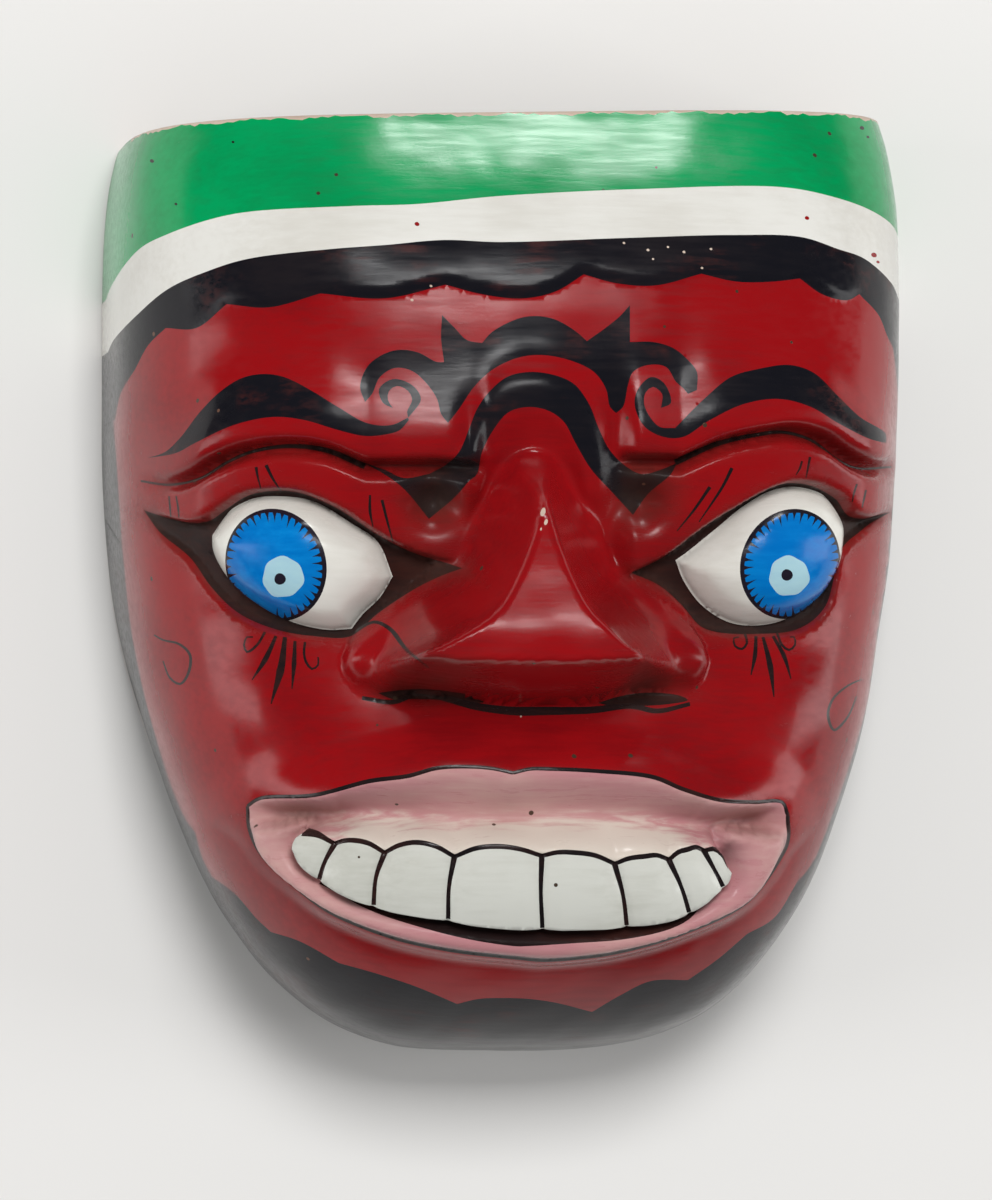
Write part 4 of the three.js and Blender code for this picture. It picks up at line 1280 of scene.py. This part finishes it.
# Dark paint of the eye surrounds, also used as painted shadow below the teeth and under the nose
def dark_paint_and_painted_shadow(groups):
    return enamel("dark_paint_and_painted_shadow", groups, (0.014, 0.008, 0.008), (0.05, 0.014, 0.010),
                  dust_and_shade=(0.045, 0.03, 0.024), dust_and_shade_amount=0.4, roughness=0.3, gloss=0.15, coat=0.0)


def eye_white(groups):
    return enamel("eye_white", groups, (0.70, 0.69, 0.64), (0.60, 0.58, 0.52), speck_amount=0.03,
                  dust_and_shade=(0.30, 0.22, 0.16), dust_and_shade_amount=0.25)


def iris_blue(groups):
    return enamel("iris_blue", groups, (0.0, 0.13, 0.44), (0.0, 0.23, 0.60), dust_and_shade_amount=0.1, gloss=0.22)


def pale_blue(groups):
    return enamel("pale_blue", groups, (0.36, 0.56, 0.62), (0.28, 0.48, 0.60), dust_and_shade_amount=0.1)


def lip_pink(groups):
    return enamel("lip_pink", groups, (0.45, 0.20, 0.215), (0.53, 0.33, 0.30), roughness=0.3,
                  dust_and_shade=(0.22, 0.10, 0.07), extra=creamy_gum)


def tooth_white(groups):
    return enamel("tooth_white", groups, (0.56, 0.565, 0.52), (0.44, 0.44, 0.39), speck_amount=0.04,
                  dust_and_shade=(0.3, 0.24, 0.17))


def bare_edge(groups):
    """Ground and wood that show where the enamel has chipped."""
    return enamel("bare_edge", groups, (0.50, 0.38, 0.30), (0.60, 0.50, 0.42), roughness=0.5, coat=0.0,
                  dust_and_shade=(0.2, 0.12, 0.08))


def carved_wood(groups):
    """Bare wood, darkened by handling, with long grain and the marks of the gouge."""
    material, tree, shader = new_material("carved_wood")
    grain = noise(tree, 520, 5, 0.6, stretch=(1, 0.06, 1))
    broad = noise(tree, 30, 4, stretch=(1, 0.4, 1))
    colour = blend_colours(tree, ramp(tree, grain, 0.35, 0.65), (0.42, 0.29, 0.17, 1), (0.27, 0.17, 0.09, 1))
    colour = blend_colours(tree, ramp(tree, broad, 0.45, 0.7, 0, 0.6), colour, (0.20, 0.12, 0.065, 1))
    dusty = {"Color": colour, "Dust_and_shade": (0.12, 0.08, 0.05, 1), "Amount": 0.5}
    grime_and_shade = use_group(tree, groups["grime_and_shade"], dusty)
    rough = ramp(tree, grain, 0.3, 0.7, 0.62, 0.8)
    set_inputs(tree, shader, {"Base Color": grime_and_shade["Color"], "Roughness": rough})
    bump_normal(tree, shader, calculate(tree, "ADD", grain, broad), 0.5, 0.0004)
    return material


FINISHES = [red_enamel, green_enamel, white_enamel, black_enamel, line_black, dark_paint_and_painted_shadow, eye_white,
            lip_pink, tooth_white, bare_edge, carved_wood, iris_line, iris_blue, pale_blue]


def make_materials():
    groups = {"brushwork": brushwork_group(), "pinholes": pinholes_group(), "grime_and_shade": grime_and_shade_group()}
    return [finish(groups) for finish in FINISHES]


FLOOR_GAP = 0.0004


def make_floor():
    """A plain pale floor, a hair's breadth below the rim."""
    size = 6.0
    corners = [(-size, -size, 0), (size, -size, 0), (size, size, 0), (-size, size, 0)]
    mesh = bpy.data.meshes.new("floor")
    mesh.from_pydata(corners, [], [(0, 1, 2, 3)])
    material, tree, shader = new_material("pale_floor")
    colour = blend_colours(tree, noise(tree, 3, 2), (0.74, 0.73, 0.71, 1), (0.77, 0.76, 0.745, 1))
    set_inputs(tree, shader, {"Base Color": colour, "Roughness": 0.8})
    mesh.materials.append(material)
    floor = bpy.data.objects.new("floor", mesh)
    floor.location.z = -FLOOR_GAP
    bpy.context.scene.collection.objects.link(floor)
    return floor


MASK_MIDDLE = Vector((0, 0, 0.06))


def add_light(name, place, size, power, mirrored=True, lights_up=True):
    """A soft panel that faces the middle of the mask. Some show only as reflections, and some never do."""
    light = bpy.data.objects.new(name, bpy.data.lights.new(name, "AREA"))
    light.data.shape = "RECTANGLE"
    light.data.size, light.data.size_y = size
    light.data.energy = power
    light.location = place
    light.rotation_euler = (MASK_MIDDLE - Vector(place)).to_track_quat("-Z", "Y").to_euler()
    light.visible_glossy = mirrored
    light.visible_diffuse = lights_up
    bpy.context.scene.collection.objects.link(light)


def make_lights():
    """A plain, soft studio light from above and from both sides."""
    add_light("soft_panel", (0.0, 0.55, 1.5), (0.55, 0.55), 18.5, mirrored=False)
    for side, name in ((-1, "left"), (1, "right")):
        add_light(name + "_panel", (1.25 * side, -0.12, 0.5), (0.5, 0.8), 6, mirrored=False)
        add_light(name + "_low_panel", (1.25 * side, 0.0, 0.2), (0.3, 0.9), 2.2, lights_up=False)
    add_light("high_panel", (0.25, 1.35, 0.62), (0.27, 0.2), 3.6, lights_up=False)
    add_light("forehead_panel", (0.02, 0.66, 1.40), (0.46, 0.15), 2.6, lights_up=False)
    world = bpy.data.worlds.new("studio")
    world.use_nodes = True
    background = world.node_tree.nodes["Background"]
    background.inputs["Color"].default_value = (0.9, 0.9, 0.9, 1)
    background.inputs["Strength"].default_value = 0.32
    world.cycles_visibility.glossy = False
    bpy.context.scene.world = world


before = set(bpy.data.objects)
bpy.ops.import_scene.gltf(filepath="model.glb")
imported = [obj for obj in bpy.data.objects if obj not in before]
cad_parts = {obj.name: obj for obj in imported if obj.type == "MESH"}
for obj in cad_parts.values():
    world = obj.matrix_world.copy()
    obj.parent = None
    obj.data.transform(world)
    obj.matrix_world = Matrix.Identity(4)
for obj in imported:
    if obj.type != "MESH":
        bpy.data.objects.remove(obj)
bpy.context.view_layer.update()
make_camera()
make_floor()
make_lights()
mask = make_mask(make_materials())
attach(mask, "root")
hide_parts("mask")
bpy.context.scene.view_settings.view_transform = "Standard"
